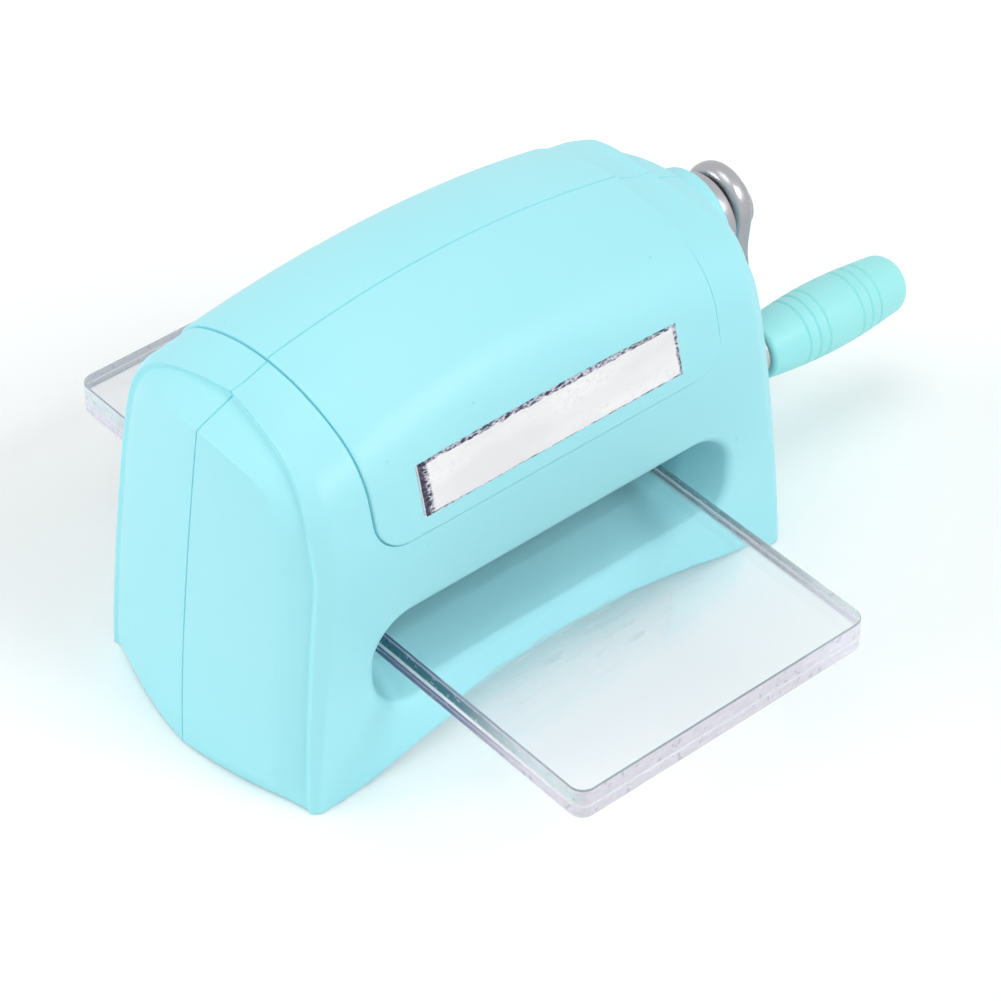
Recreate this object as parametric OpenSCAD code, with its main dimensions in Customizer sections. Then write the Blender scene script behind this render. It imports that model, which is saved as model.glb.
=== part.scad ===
// Small hand-cranked die cutting machine. Two casing halves hold a pair of steel side
// frames, and these carry two rollers. The crank turns the upper roller through a gear
// pair, and the rollers feed a stack of two clear plates through the casing.
//
// Millimetres. The origin is on the ground under the middle of the casing, +X points to
// the crank, +Y to the rear and +Z up.

/* [Casing] */
// Room between a side frame and the casing's widest point
side_room = 18.6; // [18:0.1:24]
// Depth between the front and rear faces at the ground
body_d = 63.4; // [62:0.2:74]
// How far the front leans back between the ground and the shoulder
front_lean = 0.8; // [0:0.1:2]
// Height at which the front starts to round back
shoulder_z = 53.5; // [50:0.5:56]
// Height from the ground to the top of the middle panel
body_h = 84.7; // [84:0.1:92]
// Wall thickness of the casing
wall = 2.4; // [1.8:0.1:2.8]
// Gap between the ground and the casing's lower edge
ground_gap = 0.3; // [0.3:0.1:1.2]
// Radius of the crown, seen from the front
crown_r = 193; // [170:1:260]
// Radius of the crown, seen from the end
ridge_r = 45; // [40:1:60]
// Radius of the crown at the ends
edge_ridge_r = 50; // [42:1:70]
// Radius of the long front and rear shoulders
shoulder_r = 16; // [12:0.5:18]
// Lean of the front between the shoulder and the upright part
panel_tilt = 14; // [8:0.5:18]
// Distance from the casing's widest point in to the bands at the crown
band_in = 16.1; // [14:0.1:18]
// Width of each band at the crown, between the end and the middle panel
crown_band = 8.2; // [6:0.1:11]
// Bevel on the outer edge of the bands
band_bevel = 0.5; // [0.3:0.1:1.2]
// Distance from the front to the band's edge, at the ground and at the shoulder
edge_y = [1.1, 2.1]; // [0.8:0.1:3]
// Depth of the step between a band and the end
step_d = 1.3; // [0.8:0.1:1.8]
// Height of the underside of the casing's floor pads, where the frames stand
floor_z = 5; // [4.5:0.1:7]

/* [Casing ends] */
// Height of the end face
face_h = 72.4; // [68:0.2:75]
// Width of the end face at the ground
face_w = 50; // [44:1:54]
// Width of the end face below its shoulders
face_top_w = 45; // [40:0.2:48]
// Height at which the end face starts to narrow
face_z = 50; // [46:0.5:54]
// Lean of the end face's sides above that height
face_tilt = 5; // [2:0.5:10]
// Radius of the end face's shoulders
face_r = 9; // [7:0.5:11]
// How far the end bulges at its middle
bulge = 3.4; // [2:0.1:4.5]
// How far the end leans in at the top
lean = 8; // [5:0.2:10]
// Distance from the end face's plane in to the band's edge
edge_in = 6.7; // [5.5:0.1:8]
// Height of the bevel round the foot of each end
foot_bevel_h = 5; // [3:0.5:8]
// Depth of that bevel
foot_bevel = 0.9; // [0.5:0.1:2.5]

/* [Panel and label] */
// Height of the panel's lower edge
panel_z = 53.5; // [50:0.5:55]
// Radius of the panel's lower corners
panel_r = 7; // [4:0.5:10]
// How far the panel stands proud
panel_rise = 0.6; // [0.3:0.1:1]
// Width of the label
label_w = 62; // [40:1:70]
// Height of the label, measured upright
label_h = 10.8; // [7:0.2:12]
// Height of the label's lower edge
label_z = 57; // [56:0.2:60]
// Thickness of the label
label_t = 0.2; // [0.1:0.05:0.3]

/* [Feed opening] */
// How far the mouth reaches beyond the throat at each side
mouth_flare = 4; // [2:0.5:4.5]
// Height of the mouth
mouth_h = 22; // [20:0.2:23]
// Corner radius of the mouth
mouth_r = 9.5; // [7:0.5:9.5]
// Room beside the middle of the plates in the throat, at each side
throat_play = 5; // [3:0.5:6]
// Height of the throat
throat_h = 16; // [15.6:0.1:18]
// Corner radius of the throat
throat_r = 5; // [3:0.5:7]
// Depth from the casing's face to the throat
funnel_d = 11; // [8:0.5:13]
// Distance from the middle of the feet in to the end of the arch
arch_in = 6; // [5:0.5:10]
// Height of the arch above the casing's lower edge
arch_rise = 7; // [5:0.2:7.4]

/* [Plates] */
// Width of the plates
plate_w = 70; // [60:0.5:74]
// Length of the plates
plate_len = 149.5; // [120:0.5:180]
// Thickness of the upper plate
top_plate_t = 4; // [3:0.1:4.2]
// Thickness of the lower plate
bottom_plate_t = 3; // [2:0.1:3.2]
// Corner radius of the plates
plate_r = 3; // [2:0.5:6]
// Height of the underside of the stack
plate_z = 22.75; // [22.4:0.05:23.2]
// Sideways place of the stack
plate_x = -2.5; // [-2.8:0.1:2.8]
// Place of the stack's middle along the feed
plate_y = -5.8; // [-20:0.2:20]

/* [Rollers] */
// Diameter of the upper roller
upper_d = 24; // [20:0.2:25]
// Diameter of the lower roller
lower_d = 12.5; // [11:0.1:12.6]
// How far the rollers reach beyond the plates at each side
roller_over = 8; // [5:0.5:9]
// Diameter of the roller journals
journal_d = 8; // [6:0.5:8.5]
// Gap between a roller and the plates
nip_gap = 0.25; // [0.15:0.05:0.4]

/* [Frames] */
// Clearance between the end of a roller and the side frame
roller_play = 1.5; // [1.2:0.1:3]
// Thickness of the side frames
frame_t = 2.5; // [2:0.1:3]
// Depth of the side frames
frame_d = 44; // [42:0.5:46]
// Height of the top of the side frames
frame_h = 67; // [65:0.5:68]
// Cut-off corner of the side frames
frame_corner = 6; // [4:0.5:8]
// Width of the foot flange of the side frames
flange_w = 10; // [8.5:0.5:10.5]
// Length of that flange
flange_len = 32; // [26:1:36]
// Diameter of the tie rods
tie_d = 6; // [5:0.5:7]
// Place of the upper tie rods to the front and rear of the middle
tie_up_y = 18; // [16:0.5:18]
// Height of the upper tie rods
tie_up_z = 60; // [58:0.5:61]
// Place of the lower tie rods to the front and rear of the middle
tie_low_y = 15; // [13:0.5:16]
// Height of the lower tie rods
tie_low_z = 13.6; // [13.2:0.1:15]

/* [Bushes and clips] */
// Wall of the bushes
bush_wall = 1.5; // [1:0.1:2]
// Flange of the bushes beyond their outside
bush_lip = 1.5; // [1:0.1:2]
// Thickness of the bush flange
bush_lip_t = 1; // [0.6:0.1:1.2]
// Running clearance of a shaft in its bush, on the radius
run_gap = 0.05; // [0.03:0.01:0.1]
// Thickness of the retaining clips
clip_t = 0.8; // [0.6:0.1:1]
// Width of a retaining clip beyond its shaft
clip_rim = 1.5; // [1:0.1:2]
// Depth of a clip groove
groove_d = 0.5; // [0.3:0.1:0.8]
// Length of shaft beyond the face of its frame
shaft_end = 3; // [2.6:0.1:3]

/* [Gears] */
// Module of the gears
gear_m = 1; // [0.9:0.02:1.05]
// Teeth on the crank's pinion
pinion_teeth = 12; // [12:2:14]
// Teeth on the roller gear
gear_teeth = 24; // [24:2:26]
// Width of the gear teeth
gear_w = 4.4; // [3:0.2:4.6]
// Length of the gears' hubs
gear_hub_len = 2.6; // [2:0.1:3]
// Backlash on each flank of a tooth
backlash = 0.12; // [0.08:0.01:0.18]
// Diameter of the gears' cross pins
cross_pin_d = 1.5; // [1:0.1:1.8]

/* [Crank] */
// Diameter of the crank shaft
crank_d = 6; // [5:0.2:6.4]
// Distance from the crank shaft to the grip's pin
throw = 34.5; // [28:0.5:38]
// Resting angle of the crank, towards the front
crank_rest = 13.5; // [0:0.5:45]
// Radius of the collar on the casing
collar_r = 11.2; // [10:0.2:12]
// Distance from the casing's widest point in to the collar's face
collar_in = 3.6; // [3.1:0.1:5.6]
// Clearance of the crank shaft in the collar, on the radius
collar_gap = 0.5; // [0.3:0.1:1]
// Radius of the metal disc
disc_r = 8.8; // [8:0.2:10]
// Thickness of the disc
disc_t = 3; // [2:0.2:4]
// Gap between the collar and the disc
disc_gap = 0.4; // [0.3:0.1:1]
// Length of the disc's nose, which carries the arm
disc_nose = 0.8; // [0.5:0.1:1.5]
// Radius of the arm's eye on the shaft
arm_hub_r = 9; // [8.5:0.1:12]
// Radius of the arm's eye on the grip's pin
arm_tip_r = 6.8; // [6:0.2:8]
// Width of the arm
arm_w = 10.8; // [10:0.2:13.4]
// Thickness of the arm
arm_t = 5; // [4:0.2:6]
// Thickness of the washer under its screw
washer_t = 1; // [0.6:0.1:1.5]
// Radius of the arm's rounded edges
arm_edge = 2.2; // [0.5:0.1:2.4]
// Length of the arm's screw below the head
arm_screw_len = 9; // [7:0.5:12]

/* [Grip] */
// Length of the grip
grip_len = 39.2; // [35:0.2:46]
// Diameter of the grip at its inner end
grip_d = 12.2; // [12:0.1:16]
// Diameter of the grip where its rounded end starts
grip_tip_d = 12.7; // [11.8:0.1:16]
// How far the grip swells at its middle, on the radius
grip_swell = 1.2; // [0:0.1:1.5]
// Length of the grip's rounded end
grip_dome = 4.5; // [4:0.1:5]
// Diameter of the grip's pin
grip_pin_d = 6; // [5:0.2:7]
// Length of the grip's bore
grip_bore = 30; // [28:0.5:31]
// Clearance of the pin in the grip, on the radius
grip_gap = 0.08; // [0.04:0.01:0.1]
// Length of the pin's shoulder between the arm and the grip
pin_shoulder = 1.1; // [0.8:0.1:4]
// Tilt of the pin, its outer end away from the crank shaft
pin_tilt = 1.6; // [0:0.1:6]
// Place of the first groove of each group, from the grip's inner end
ring_at = [8.9, 23.5]; // [0:0.1:40]
// Distance between grooves of one group
ring_pitch = 2.6; // [2:0.05:2.7]
// Width of a groove
ring_w = 0.7; // [0.5:0.1:1.2]
// Depth of a groove
ring_d = 0.35; // [0.2:0.05:0.6]

/* [Screws and feet] */
// Diameter of the screws
screw_d = 3; // [2.5:0.1:3.2]
// Diameter of their heads
head_d = 5.6; // [5:0.1:6]
// Height of their heads
head_h = 1.9; // [1.5:0.1:2]
// Clearance around screw shanks and heads
screw_gap = 0.3; // [0.2:0.05:0.4]
// Radius of the casing's screw posts
post_r = 4; // [3.8:0.1:4.2]
// Sideways place of the upper posts
post_up_x = 30; // [24:0.5:34]
// Height of the upper posts
post_up_z = 71; // [70:0.2:72]
// Distance from a side frame out to the lower posts
post_out = 6; // [5.5:0.1:6.5]
// Height of the lower posts
post_low_z = 24.2; // [24:0.1:24.6]
// Distance from the middle to the casing screws' heads
screw_seat = 22; // [18:0.5:23]
// Length of the casing screws below the head
case_screw_len = 32; // [28:0.5:34]
// Distance from a side frame out to the feet and foot screws
foot_out = 5; // [4.5:0.1:6]
// Place of the foot screws from the middle, along the feed
foot_screw_y = 11; // [8:0.5:13]
// Place of the rubber feet from the middle, along the feed
foot_y = 22; // [20:0.5:23]
// Diameter of the rubber feet
foot_d = 9; // [7:0.5:10]
// Depth of their pockets
foot_pocket = 1.5; // [1:0.1:2]

/* [Hidden] */

$fn = 48;
past = 1;               // how far a cut runs past the face that it opens
clear_of = 5;           // how far it runs past a curved face
pressure_angle = 20;
lean_power = 1.4;       // the ends lean in faster towards the top
face_in = 0.06;         // the end face's middle starts this share below its top
crown_steps = [1, 2];   // sixths of the panel's width at which it has sections

mint = [0.66, 0.93, 0.95];
steel = [0.62, 0.64, 0.67];
chrome = [0.82, 0.83, 0.86];
brass = [0.80, 0.66, 0.36];
rubber = [0.18, 0.19, 0.20];
clear = [0.80, 0.88, 0.95, 0.5];

stack_t = top_plate_t + bottom_plate_t;
mouth_z = plate_z + stack_t / 2;
upper_z = plate_z + stack_t + nip_gap + upper_d / 2;
lower_z = plate_z - nip_gap - lower_d / 2;
crank_z = upper_z + gear_m * (pinion_teeth + gear_teeth) / 2;

roller_len = plate_w + 2 * roller_over;
frame_in = roller_len / 2 + roller_play;
frame_out = frame_in + frame_t;
shaft_x = frame_out + shaft_end;
gear_x = frame_out + bush_lip_t;
pin_x = gear_x + gear_hub_len / 2;
foot_x = frame_out + foot_out;
post_low_x = frame_out + post_out;

body_w = 2 * (frame_out + side_room);
band_w = body_w - 2 * band_in;
panel_w = band_w - 2 * crown_band;
half_d = body_d / 2;
skin_h = body_h - panel_rise;
throat_w = plate_w + 2 * throat_play;
mouth_w = throat_w + 2 * mouth_flare;
arch_half = foot_x - arch_in;
arch_r = (arch_half * arch_half + arch_rise * arch_rise) / (2 * arch_rise);

collar_x = body_w / 2 - collar_in;
disc_x = collar_x + disc_gap;
arm_x = disc_x + disc_t + disc_nose;
grip_x = arm_x + arm_t + pin_shoulder + screw_gap;
clip_at = 0.9 * grip_bore;

// Height of the casing's skin above its middle line
function skin_top(x) = skin_h - crown_r + sqrt(crown_r * crown_r - x * x);

// Place of the end face's middle line at a height
function end_x(z) = body_w / 2 - lean * pow(max(z, 0) / face_h, lean_power);

function arc(cy, cz, r, from, to, steps) =
    [for (i = [0 : steps]) let (a = from + (to - from) * i / steps)
        [cy + r * cos(a), cz + r * sin(a)]];

// Front half of a cross-section as [y, z]: upright front, leaning part, shoulder, crown
function outline(base_y, top_y, top_z, from_z, tilt, ridge, r, base_z) =
    let (low = max(base_z + 0.5, ground_gap + foot_bevel_h),
         reach = top_y * cos(tilt) + from_z * sin(tilt),
         turn = asin((reach - r - (top_z - ridge) * sin(tilt)) / (ridge - r)) - tilt,
         cy = (ridge - r) * sin(turn),
         cz = top_z - ridge + (ridge - r) * cos(turn))
    concat([for (z = [base_z, low, (low + from_z) / 2, from_z])
               [-base_y + (base_y - top_y) * z / from_z, z]],
           [for (i = [0 : 6]) let (a = 90 - tilt + (turn + tilt - 90) * i / 6)
               [-cy - r * sin(a), cz + r * cos(a)]],
           [for (i = [2 : -1 : 0]) let (a = turn * i / 3)
               [-ridge * sin(a), top_z - ridge + ridge * cos(a)]]);

// Sections across the casing, each inset by g
function flat_ring(x, g, base_z) =
    [for (p = outline(half_d - g, half_d - front_lean - g, skin_top(x) - g, shoulder_z,
                      panel_tilt, ridge_r - g, shoulder_r - g, base_z))
        [x, p[0], p[1]]];

// Sections along the band's edge; in_y and back hold values at the ground and the shoulder
function edge_ring(in_y, in_z, back, g, base_z) =
    let (top_z = skin_top(band_w / 2) - in_z - g,
         wide = end_x(shoulder_z) - edge_in)
    [for (p = outline(half_d - in_y[0] - g, half_d - front_lean - in_y[1] - g, top_z,
                      shoulder_z, panel_tilt, edge_ridge_r - g, shoulder_r - g, base_z))
        let (rise = max(0, (p[1] - shoulder_z) / (top_z - shoulder_z)),
             x = rise == 0 ? end_x(p[1]) - edge_in
                           : band_w / 2 + (wide - band_w / 2) * sqrt(max(0, 1 - rise * rise)),
             back_x = back[0] + (back[1] - back[0]) * min(1, p[1] / shoulder_z))
        [x - back_x - g, p[0], p[1]]];

function face_ring(share, g, base_z) =
    [for (p = outline(face_w / 2 - g, face_top_w / 2 - g, face_h - g, face_z, face_tilt,
                      edge_ridge_r - g, face_r - g, base_z))
        let (y = p[0] * share,
             z = base_z + (p[1] - base_z) * (1 - face_in * (1 - share)),
             bevel = foot_bevel * max(0, 1 - (z - ground_gap) / foot_bevel_h))
        [end_x(z) - bulge * pow(2 * y / face_w, 2) - bevel - g, y, z]];

function side_rings(g, base_z) =
    [face_ring(0, g, base_z), face_ring(0.5, g, base_z), face_ring(1, g, base_z),
     edge_ring([edge_y[0] + step_d, edge_y[1] + step_d], band_bevel + step_d, [-0.3, -0.3],
               g, base_z),
     edge_ring(edge_y, band_bevel, [0, 0], g, base_z),
     edge_ring([0, 0], 0, [edge_y[0], edge_y[1] + 0.7], g, base_z),
     flat_ring(panel_w / 2, g, base_z),
     flat_ring(crown_steps[1] * panel_w / 6, g, base_z),
     flat_ring(crown_steps[0] * panel_w / 6, g, base_z)];

function reversed(list) = [for (i = [len(list) - 1 : -1 : 0]) list[i]];

// Front half of the casing's solid, inset by g, run on past the parting plane by seam
module half_skin(g, base_z, seam) {
    side = side_rings(g, base_z);
    left = [for (ring = side) [for (p = ring) [-p[0], p[1], p[2]]]];
    rings = concat(left, [flat_ring(0, g, base_z)], reversed(side));
    n = len(rings);
    m = len(rings[0]);
    points = [for (ring = rings) for (p = ring) [p[0], p[1] > -0.001 ? seam : p[1], p[2]]];
    skin = [for (i = [0 : n - 2]) for (j = [0 : m - 2])
        [i * m + j, i * m + j + 1, (i + 1) * m + j + 1, (i + 1) * m + j]];
    base = [for (i = [0 : n - 1]) i * m];
    cap = concat([for (j = [m - 1 : -1 : 0]) j],
                 [for (j = [0 : m - 1]) (n - 1) * m + j],
                 [for (i = [n - 2 : -1 : 1]) i * m + m - 1]);
    polyhedron(points, concat(skin, [base, cap]), convexity = 6);
}

module rod_x(from, to, r, y, z) {
    translate([from, y, z]) rotate([0, 90, 0]) cylinder(r = r, h = to - from);
}

module rod_y(from, to, r, x, z) {
    translate([x, to, z]) rotate([90, 0, 0]) cylinder(r = r, h = to - from);
}

// A rounded upright rectangle, pushed through from one y to another
module slab_y(w, h, r, z, from, to) {
    translate([0, to, z]) rotate([90, 0, 0]) linear_extrude(to - from) {
        square([w - 2 * r, h], center = true);
        square([w, h - 2 * r], center = true);
        for (sx = [-1, 1], sz = [-1, 1])
            translate([sx * (w / 2 - r), sz * (h / 2 - r)]) circle(r);
    }
}

// The funnel from the mouth to the throat, grown by g
module funnel(g) {
    hull() {
        slab_y(mouth_w + 2 * g, mouth_h + 2 * g, mouth_r + g, mouth_z,
               -half_d - 0.1, -half_d);
        slab_y(throat_w + 2 * g, throat_h + 2 * g, throat_r + g, mouth_z,
               -half_d + funnel_d - 0.1, -half_d + funnel_d);
    }
}

module posts(r, from, to) {
    for (sx = [-1, 1]) {
        rod_y(from, to, r, sx * post_up_x, post_up_z);
        rod_y(from, to, r, sx * post_low_x, post_low_z);
    }
}

module arch(g) {
    translate([0, half_d + clear_of, ground_gap + arch_rise - arch_r]) rotate([90, 0, 0])
        cylinder(r = arch_r + g, h = body_d + 2 * clear_of, $fn = 240);
}

// One casing half, on the front side of the parting plane
module casing_half() {
    difference() {
        union() {
            difference() {
                union() {
                    half_skin(0, ground_gap, 0);
                    intersection() {
                        half_skin(-panel_rise, ground_gap, 0);
                        slab_y(panel_w, 2 * (body_h - panel_z), panel_r, body_h,
                               -half_d - clear_of, 0);
                    }
                }
                difference() {
                    half_skin(wall, floor_z, past);
                    arch(wall);
                }
            }
            intersection() {
                half_skin(wall / 4, ground_gap + 0.5, 0);
                union() {
                    funnel(wall);
                    posts(post_r, -half_d, 0);
                }
            }
            intersection() {
                rod_x(end_x(crank_z) - wall - 0.4, collar_x, collar_r, 0, crank_z);
                translate([0, -half_d, 0]) cube([body_w, half_d, body_h]);
            }
        }
        arch(0);
        funnel(0);
        slab_y(mouth_w, mouth_h, mouth_r, mouth_z, -half_d - 2, -half_d - 0.05);
        slab_y(throat_w, throat_h, throat_r, mouth_z, -half_d + funnel_d - 0.15,
               -half_d + funnel_d + wall);
        rod_x(end_x(crank_z) - wall - 3, collar_x + past, crank_d / 2 + collar_gap, 0,
              crank_z);
        for (sx = [-1, 1]) {
            translate([sx * foot_x, -foot_screw_y, 0]) {
                cylinder(d = screw_d + 2 * screw_gap, h = floor_z + past);
                cylinder(d = head_d + 2 * screw_gap, h = ground_gap + head_h);
            }
            translate([sx * foot_x, -foot_y, 0])
                cylinder(d = foot_d, h = ground_gap + foot_pocket);
        }
    }
}

module front_shell() {
    color(mint) difference() {
        casing_half();
        posts(screw_d / 2, screw_seat - case_screw_len - past, past);
    }
}

module rear_shell() {
    color(mint) difference() {
        mirror([0, 1, 0]) casing_half();
        posts(screw_d / 2 + screw_gap, -past, half_d + past);
        posts(head_d / 2 + screw_gap, screw_seat, half_d + past);
    }
}

module front_label() {
    color(chrome) intersection() {
        difference() {
            half_skin(-panel_rise - label_t, ground_gap, 0);
            half_skin(-panel_rise, ground_gap - past, past);
        }
        translate([-label_w / 2, -half_d - clear_of, label_z]) cube([label_w, half_d, label_h]);
    }
}

// A side frame for the right side: plate with an outward flange at its foot
module side_frame() {
    difference() {
        union() {
            translate([frame_in, 0, 0]) rotate([90, 0, 90]) linear_extrude(frame_t)
                polygon([[-frame_d / 2, floor_z], [frame_d / 2, floor_z],
                         [frame_d / 2, frame_h - frame_corner],
                         [frame_d / 2 - frame_corner, frame_h],
                         [-frame_d / 2 + frame_corner, frame_h],
                         [-frame_d / 2, frame_h - frame_corner]]);
            translate([frame_in, -flange_len / 2, floor_z])
                cube([frame_t + flange_w, flange_len, frame_t]);
        }
        for (z = [upper_z, lower_z])
            rod_x(frame_in - past, frame_out + past, journal_d / 2 + run_gap + bush_wall, 0, z);
        rod_x(frame_in - past, frame_out + past, crank_d / 2 + run_gap + bush_wall, 0, crank_z);
        for (p = tie_places())
            rod_x(frame_in - past, frame_out + past, screw_d / 2 + screw_gap / 2, p[0], p[1]);
        for (sy = [-1, 1])
            translate([foot_x, sy * foot_screw_y, 0])
                cylinder(d = screw_d, h = floor_z + frame_t + past);
    }
}

function tie_places() =
    [for (sy = [-1, 1]) [sy * tie_up_y, tie_up_z], for (sy = [-1, 1]) [sy * tie_low_y, tie_low_z]];

module right_frame() {
    color(steel) side_frame();
}

module left_frame() {
    color(steel) mirror([1, 0, 0]) side_frame();
}

module tie_rods() {
    color(steel) for (p = tie_places()) difference() {
        rod_x(-frame_in, frame_in, tie_d / 2, p[0], p[1]);
        for (sx = [-1, 1])
            translate([sx * (frame_in - 4.5), 0, 0])
                rod_x(-5.5, 5.5, screw_d / 2, p[0], p[1]);
    }
}

// A cross-head screw along +Z, its head below z = 0
module screw(len) {
    difference() {
        union() {
            cylinder(d = screw_d, h = len);
            translate([0, 0, -head_h]) cylinder(d = head_d, h = head_h);
        }
        for (a = [0, 90])
            rotate([0, 0, a]) translate([0, 0, -head_h])
                cube([head_d * 0.6, screw_d / 4, head_h], center = true);
    }
}

module frame_screws() {
    color(steel) for (p = tie_places(), side = [0, 1])
        mirror([side, 0, 0]) translate([frame_out, p[0], p[1]]) rotate([0, -90, 0]) screw(frame_t + 6);
}

module foot_screws() {
    color(steel) for (sx = [-1, 1], sy = [-1, 1])
        translate([sx * foot_x, sy * foot_screw_y, ground_gap + head_h])
            screw(floor_z - ground_gap - head_h + frame_t + 1.5);
}

module shell_screws() {
    color(steel) for (sx = [-1, 1], p = [[post_up_x, post_up_z], [post_low_x, post_low_z]])
        translate([sx * p[0], screw_seat, p[1]]) rotate([90, 0, 0]) screw(case_screw_len);
}

module rubber_feet() {
    color(rubber) for (sx = [-1, 1], sy = [-1, 1])
        translate([sx * foot_x, sy * foot_y, 0])
            cylinder(d = foot_d, h = ground_gap + foot_pocket);
}

// A flanged bush in the right frame, its flange on the inner side
module bush(d, z) {
    r = d / 2 + run_gap;
    difference() {
        union() {
            rod_x(frame_in, frame_out, r + bush_wall, 0, z);
            rod_x(frame_in - bush_lip_t, frame_in, r + bush_wall + bush_lip, 0, z);
        }
        rod_x(frame_in - bush_lip_t - past, frame_out + past, r, 0, z);
    }
}

module roller_bushes() {
    color(brass) for (side = [0, 1], z = [upper_z, lower_z]) mirror([side, 0, 0]) bush(journal_d, z);
}

module crank_bushes() {
    color(brass) for (side = [0, 1]) mirror([side, 0, 0]) bush(crank_d, crank_z);
}

// An open clip on the right end of a shaft, and the groove that it sits in
module clip(d, z) {
    difference() {
        rod_x(frame_out + 0.3, frame_out + 0.3 + clip_t, d / 2 + clip_rim, 0, z);
        rod_x(frame_out, frame_out + 2, d / 2 - groove_d, 0, z);
        translate([frame_out, -d / 6, z]) cube([2, d / 3, d]);
    }
}

module groove(d, z) {
    difference() {
        rod_x(frame_out + 0.3, frame_out + 0.3 + clip_t, d / 2 + clip_rim, 0, z);
        rod_x(frame_out, frame_out + 2, d / 2 - groove_d, 0, z);
    }
}

module cross_pin(r, z) {
    translate([pin_x, 0, z - r]) cylinder(d = cross_pin_d, h = 2 * r);
}

module upper_roller() {
    color(steel) difference() {
        union() {
            rod_x(-roller_len / 2, roller_len / 2, upper_d / 2, 0, upper_z);
            rod_x(-shaft_x, gear_x + gear_hub_len + gear_w, journal_d / 2, 0, upper_z);
        }
        mirror([1, 0, 0]) groove(journal_d, upper_z);
        cross_pin(journal_d, upper_z);
    }
}

module upper_roller_clip() {
    color(steel) mirror([1, 0, 0]) clip(journal_d, upper_z);
}

module lower_roller() {
    color(steel) difference() {
        union() {
            rod_x(-roller_len / 2, roller_len / 2, lower_d / 2, 0, lower_z);
            rod_x(-shaft_x, shaft_x, journal_d / 2, 0, lower_z);
        }
        for (side = [0, 1]) mirror([side, 0, 0]) groove(journal_d, lower_z);
    }
}

module lower_roller_clips() {
    color(steel) for (side = [0, 1]) mirror([side, 0, 0]) clip(journal_d, lower_z);
}

// Turn, in degrees, of an involute at radius r from its start on the base circle
function involute(base, r) = let (a = acos(min(1, base / r))) tan(a) * 180 / PI - a;

// A spur gear's outline with teeth of its own addendum and dedendum
module gear_shape(teeth, addendum, dedendum) {
    pitch = gear_m * teeth / 2;
    base = pitch * cos(pressure_angle);
    half = 90 / teeth - backlash / pitch * 180 / PI + involute(base, pitch);
    radii = [pitch - dedendum, base, pitch, pitch + addendum / 2, pitch + addendum];
    flank = [for (r = radii) [r, half - involute(base, max(r, base))]];
    polygon([for (i = [0 : teeth - 1], side = [-1, 1])
        for (k = [0 : len(flank) - 1])
            let (p = flank[side < 0 ? k : len(flank) - 1 - k],
                 a = 360 / teeth * i + side * p[1])
            [p[0] * cos(a), p[0] * sin(a)]]);
}

// A gear on a shaft: hub next to the frame, teeth outside it
module gear(teeth, addendum, dedendum, turn, hub_r, d, z) {
    difference() {
        union() {
            translate([gear_x + gear_hub_len, 0, z]) rotate([0, 90, 0]) rotate([0, 0, turn])
                linear_extrude(gear_w) gear_shape(teeth, addendum, dedendum);
            rod_x(gear_x, gear_x + gear_hub_len, hub_r, 0, z);
        }
        rod_x(gear_x - past, gear_x + gear_hub_len + gear_w + past, d / 2, 0, z);
        cross_pin(hub_r + past, z);
    }
}

module roller_gear() {
    color(brass) gear(gear_teeth, 0.8 * gear_m, 1.2 * gear_m, 0, journal_d / 2 + 2,
                      journal_d, upper_z);
}

module roller_gear_pin() {
    color(steel) cross_pin(journal_d / 2 + 2, upper_z);
}

module drive_pinion() {
    color(brass) gear(pinion_teeth, gear_m, 1.1 * gear_m, 180 / pinion_teeth,
                      crank_d / 2 + 1.9, crank_d, crank_z);
}

module drive_pinion_pin() {
    color(steel) cross_pin(crank_d / 2 + 1.9, crank_z);
}

module flatted_end(from, to) {
    intersection() {
        rod_x(from, to, crank_d / 2, 0, crank_z);
        translate([from, -crank_d * 0.38, crank_z - crank_d])
            cube([to - from, crank_d * 0.76, 2 * crank_d]);
    }
}

module crank_shaft() {
    color(steel) difference() {
        union() {
            rod_x(-shaft_x, arm_x, crank_d / 2, 0, crank_z);
            crank_turn() flatted_end(arm_x - 2, arm_x + arm_t);
        }
        mirror([1, 0, 0]) groove(crank_d, crank_z);
        cross_pin(crank_d, crank_z);
        rod_x(arm_x + arm_t + washer_t - arm_screw_len - 1, arm_x + arm_t + past, screw_d / 2, 0,
              crank_z);
    }
}

module crank_clip() {
    color(steel) mirror([1, 0, 0]) clip(crank_d, crank_z);
}

// Turns the crank's outer pieces about its shaft to the resting angle
module crank_turn() {
    translate([0, 0, crank_z]) rotate([-crank_rest, 0, 0]) translate([0, 0, -crank_z]) children();
}

// Tilts the grip and its pin about the middle of the arm's outer face
module tilt_pin() {
    translate([arm_x + arm_t, 0, crank_z - throw]) rotate([0, pin_tilt, 0])
        translate([-arm_x - arm_t, 0, throw - crank_z]) children();
}

module hub_disc() {
    color(chrome) difference() {
        union() {
            rod_x(disc_x, disc_x + disc_t, disc_r, 0, crank_z);
            rod_x(disc_x, arm_x, disc_r - 3, 0, crank_z);
        }
        rod_x(disc_x - past, arm_x + past, crank_d / 2, 0, crank_z);
    }
}

// A disc of the arm's thickness with rounded edges, its axis along X
module round_eye(r, z) {
    translate([arm_x, 0, z]) rotate([0, 90, 0]) rotate_extrude() {
        square([r - arm_edge, arm_t]);
        translate([0, arm_edge]) square([r, arm_t - 2 * arm_edge]);
        for (at = [arm_edge, arm_t - arm_edge]) translate([r - arm_edge, at]) circle(arm_edge);
    }
}

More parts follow.
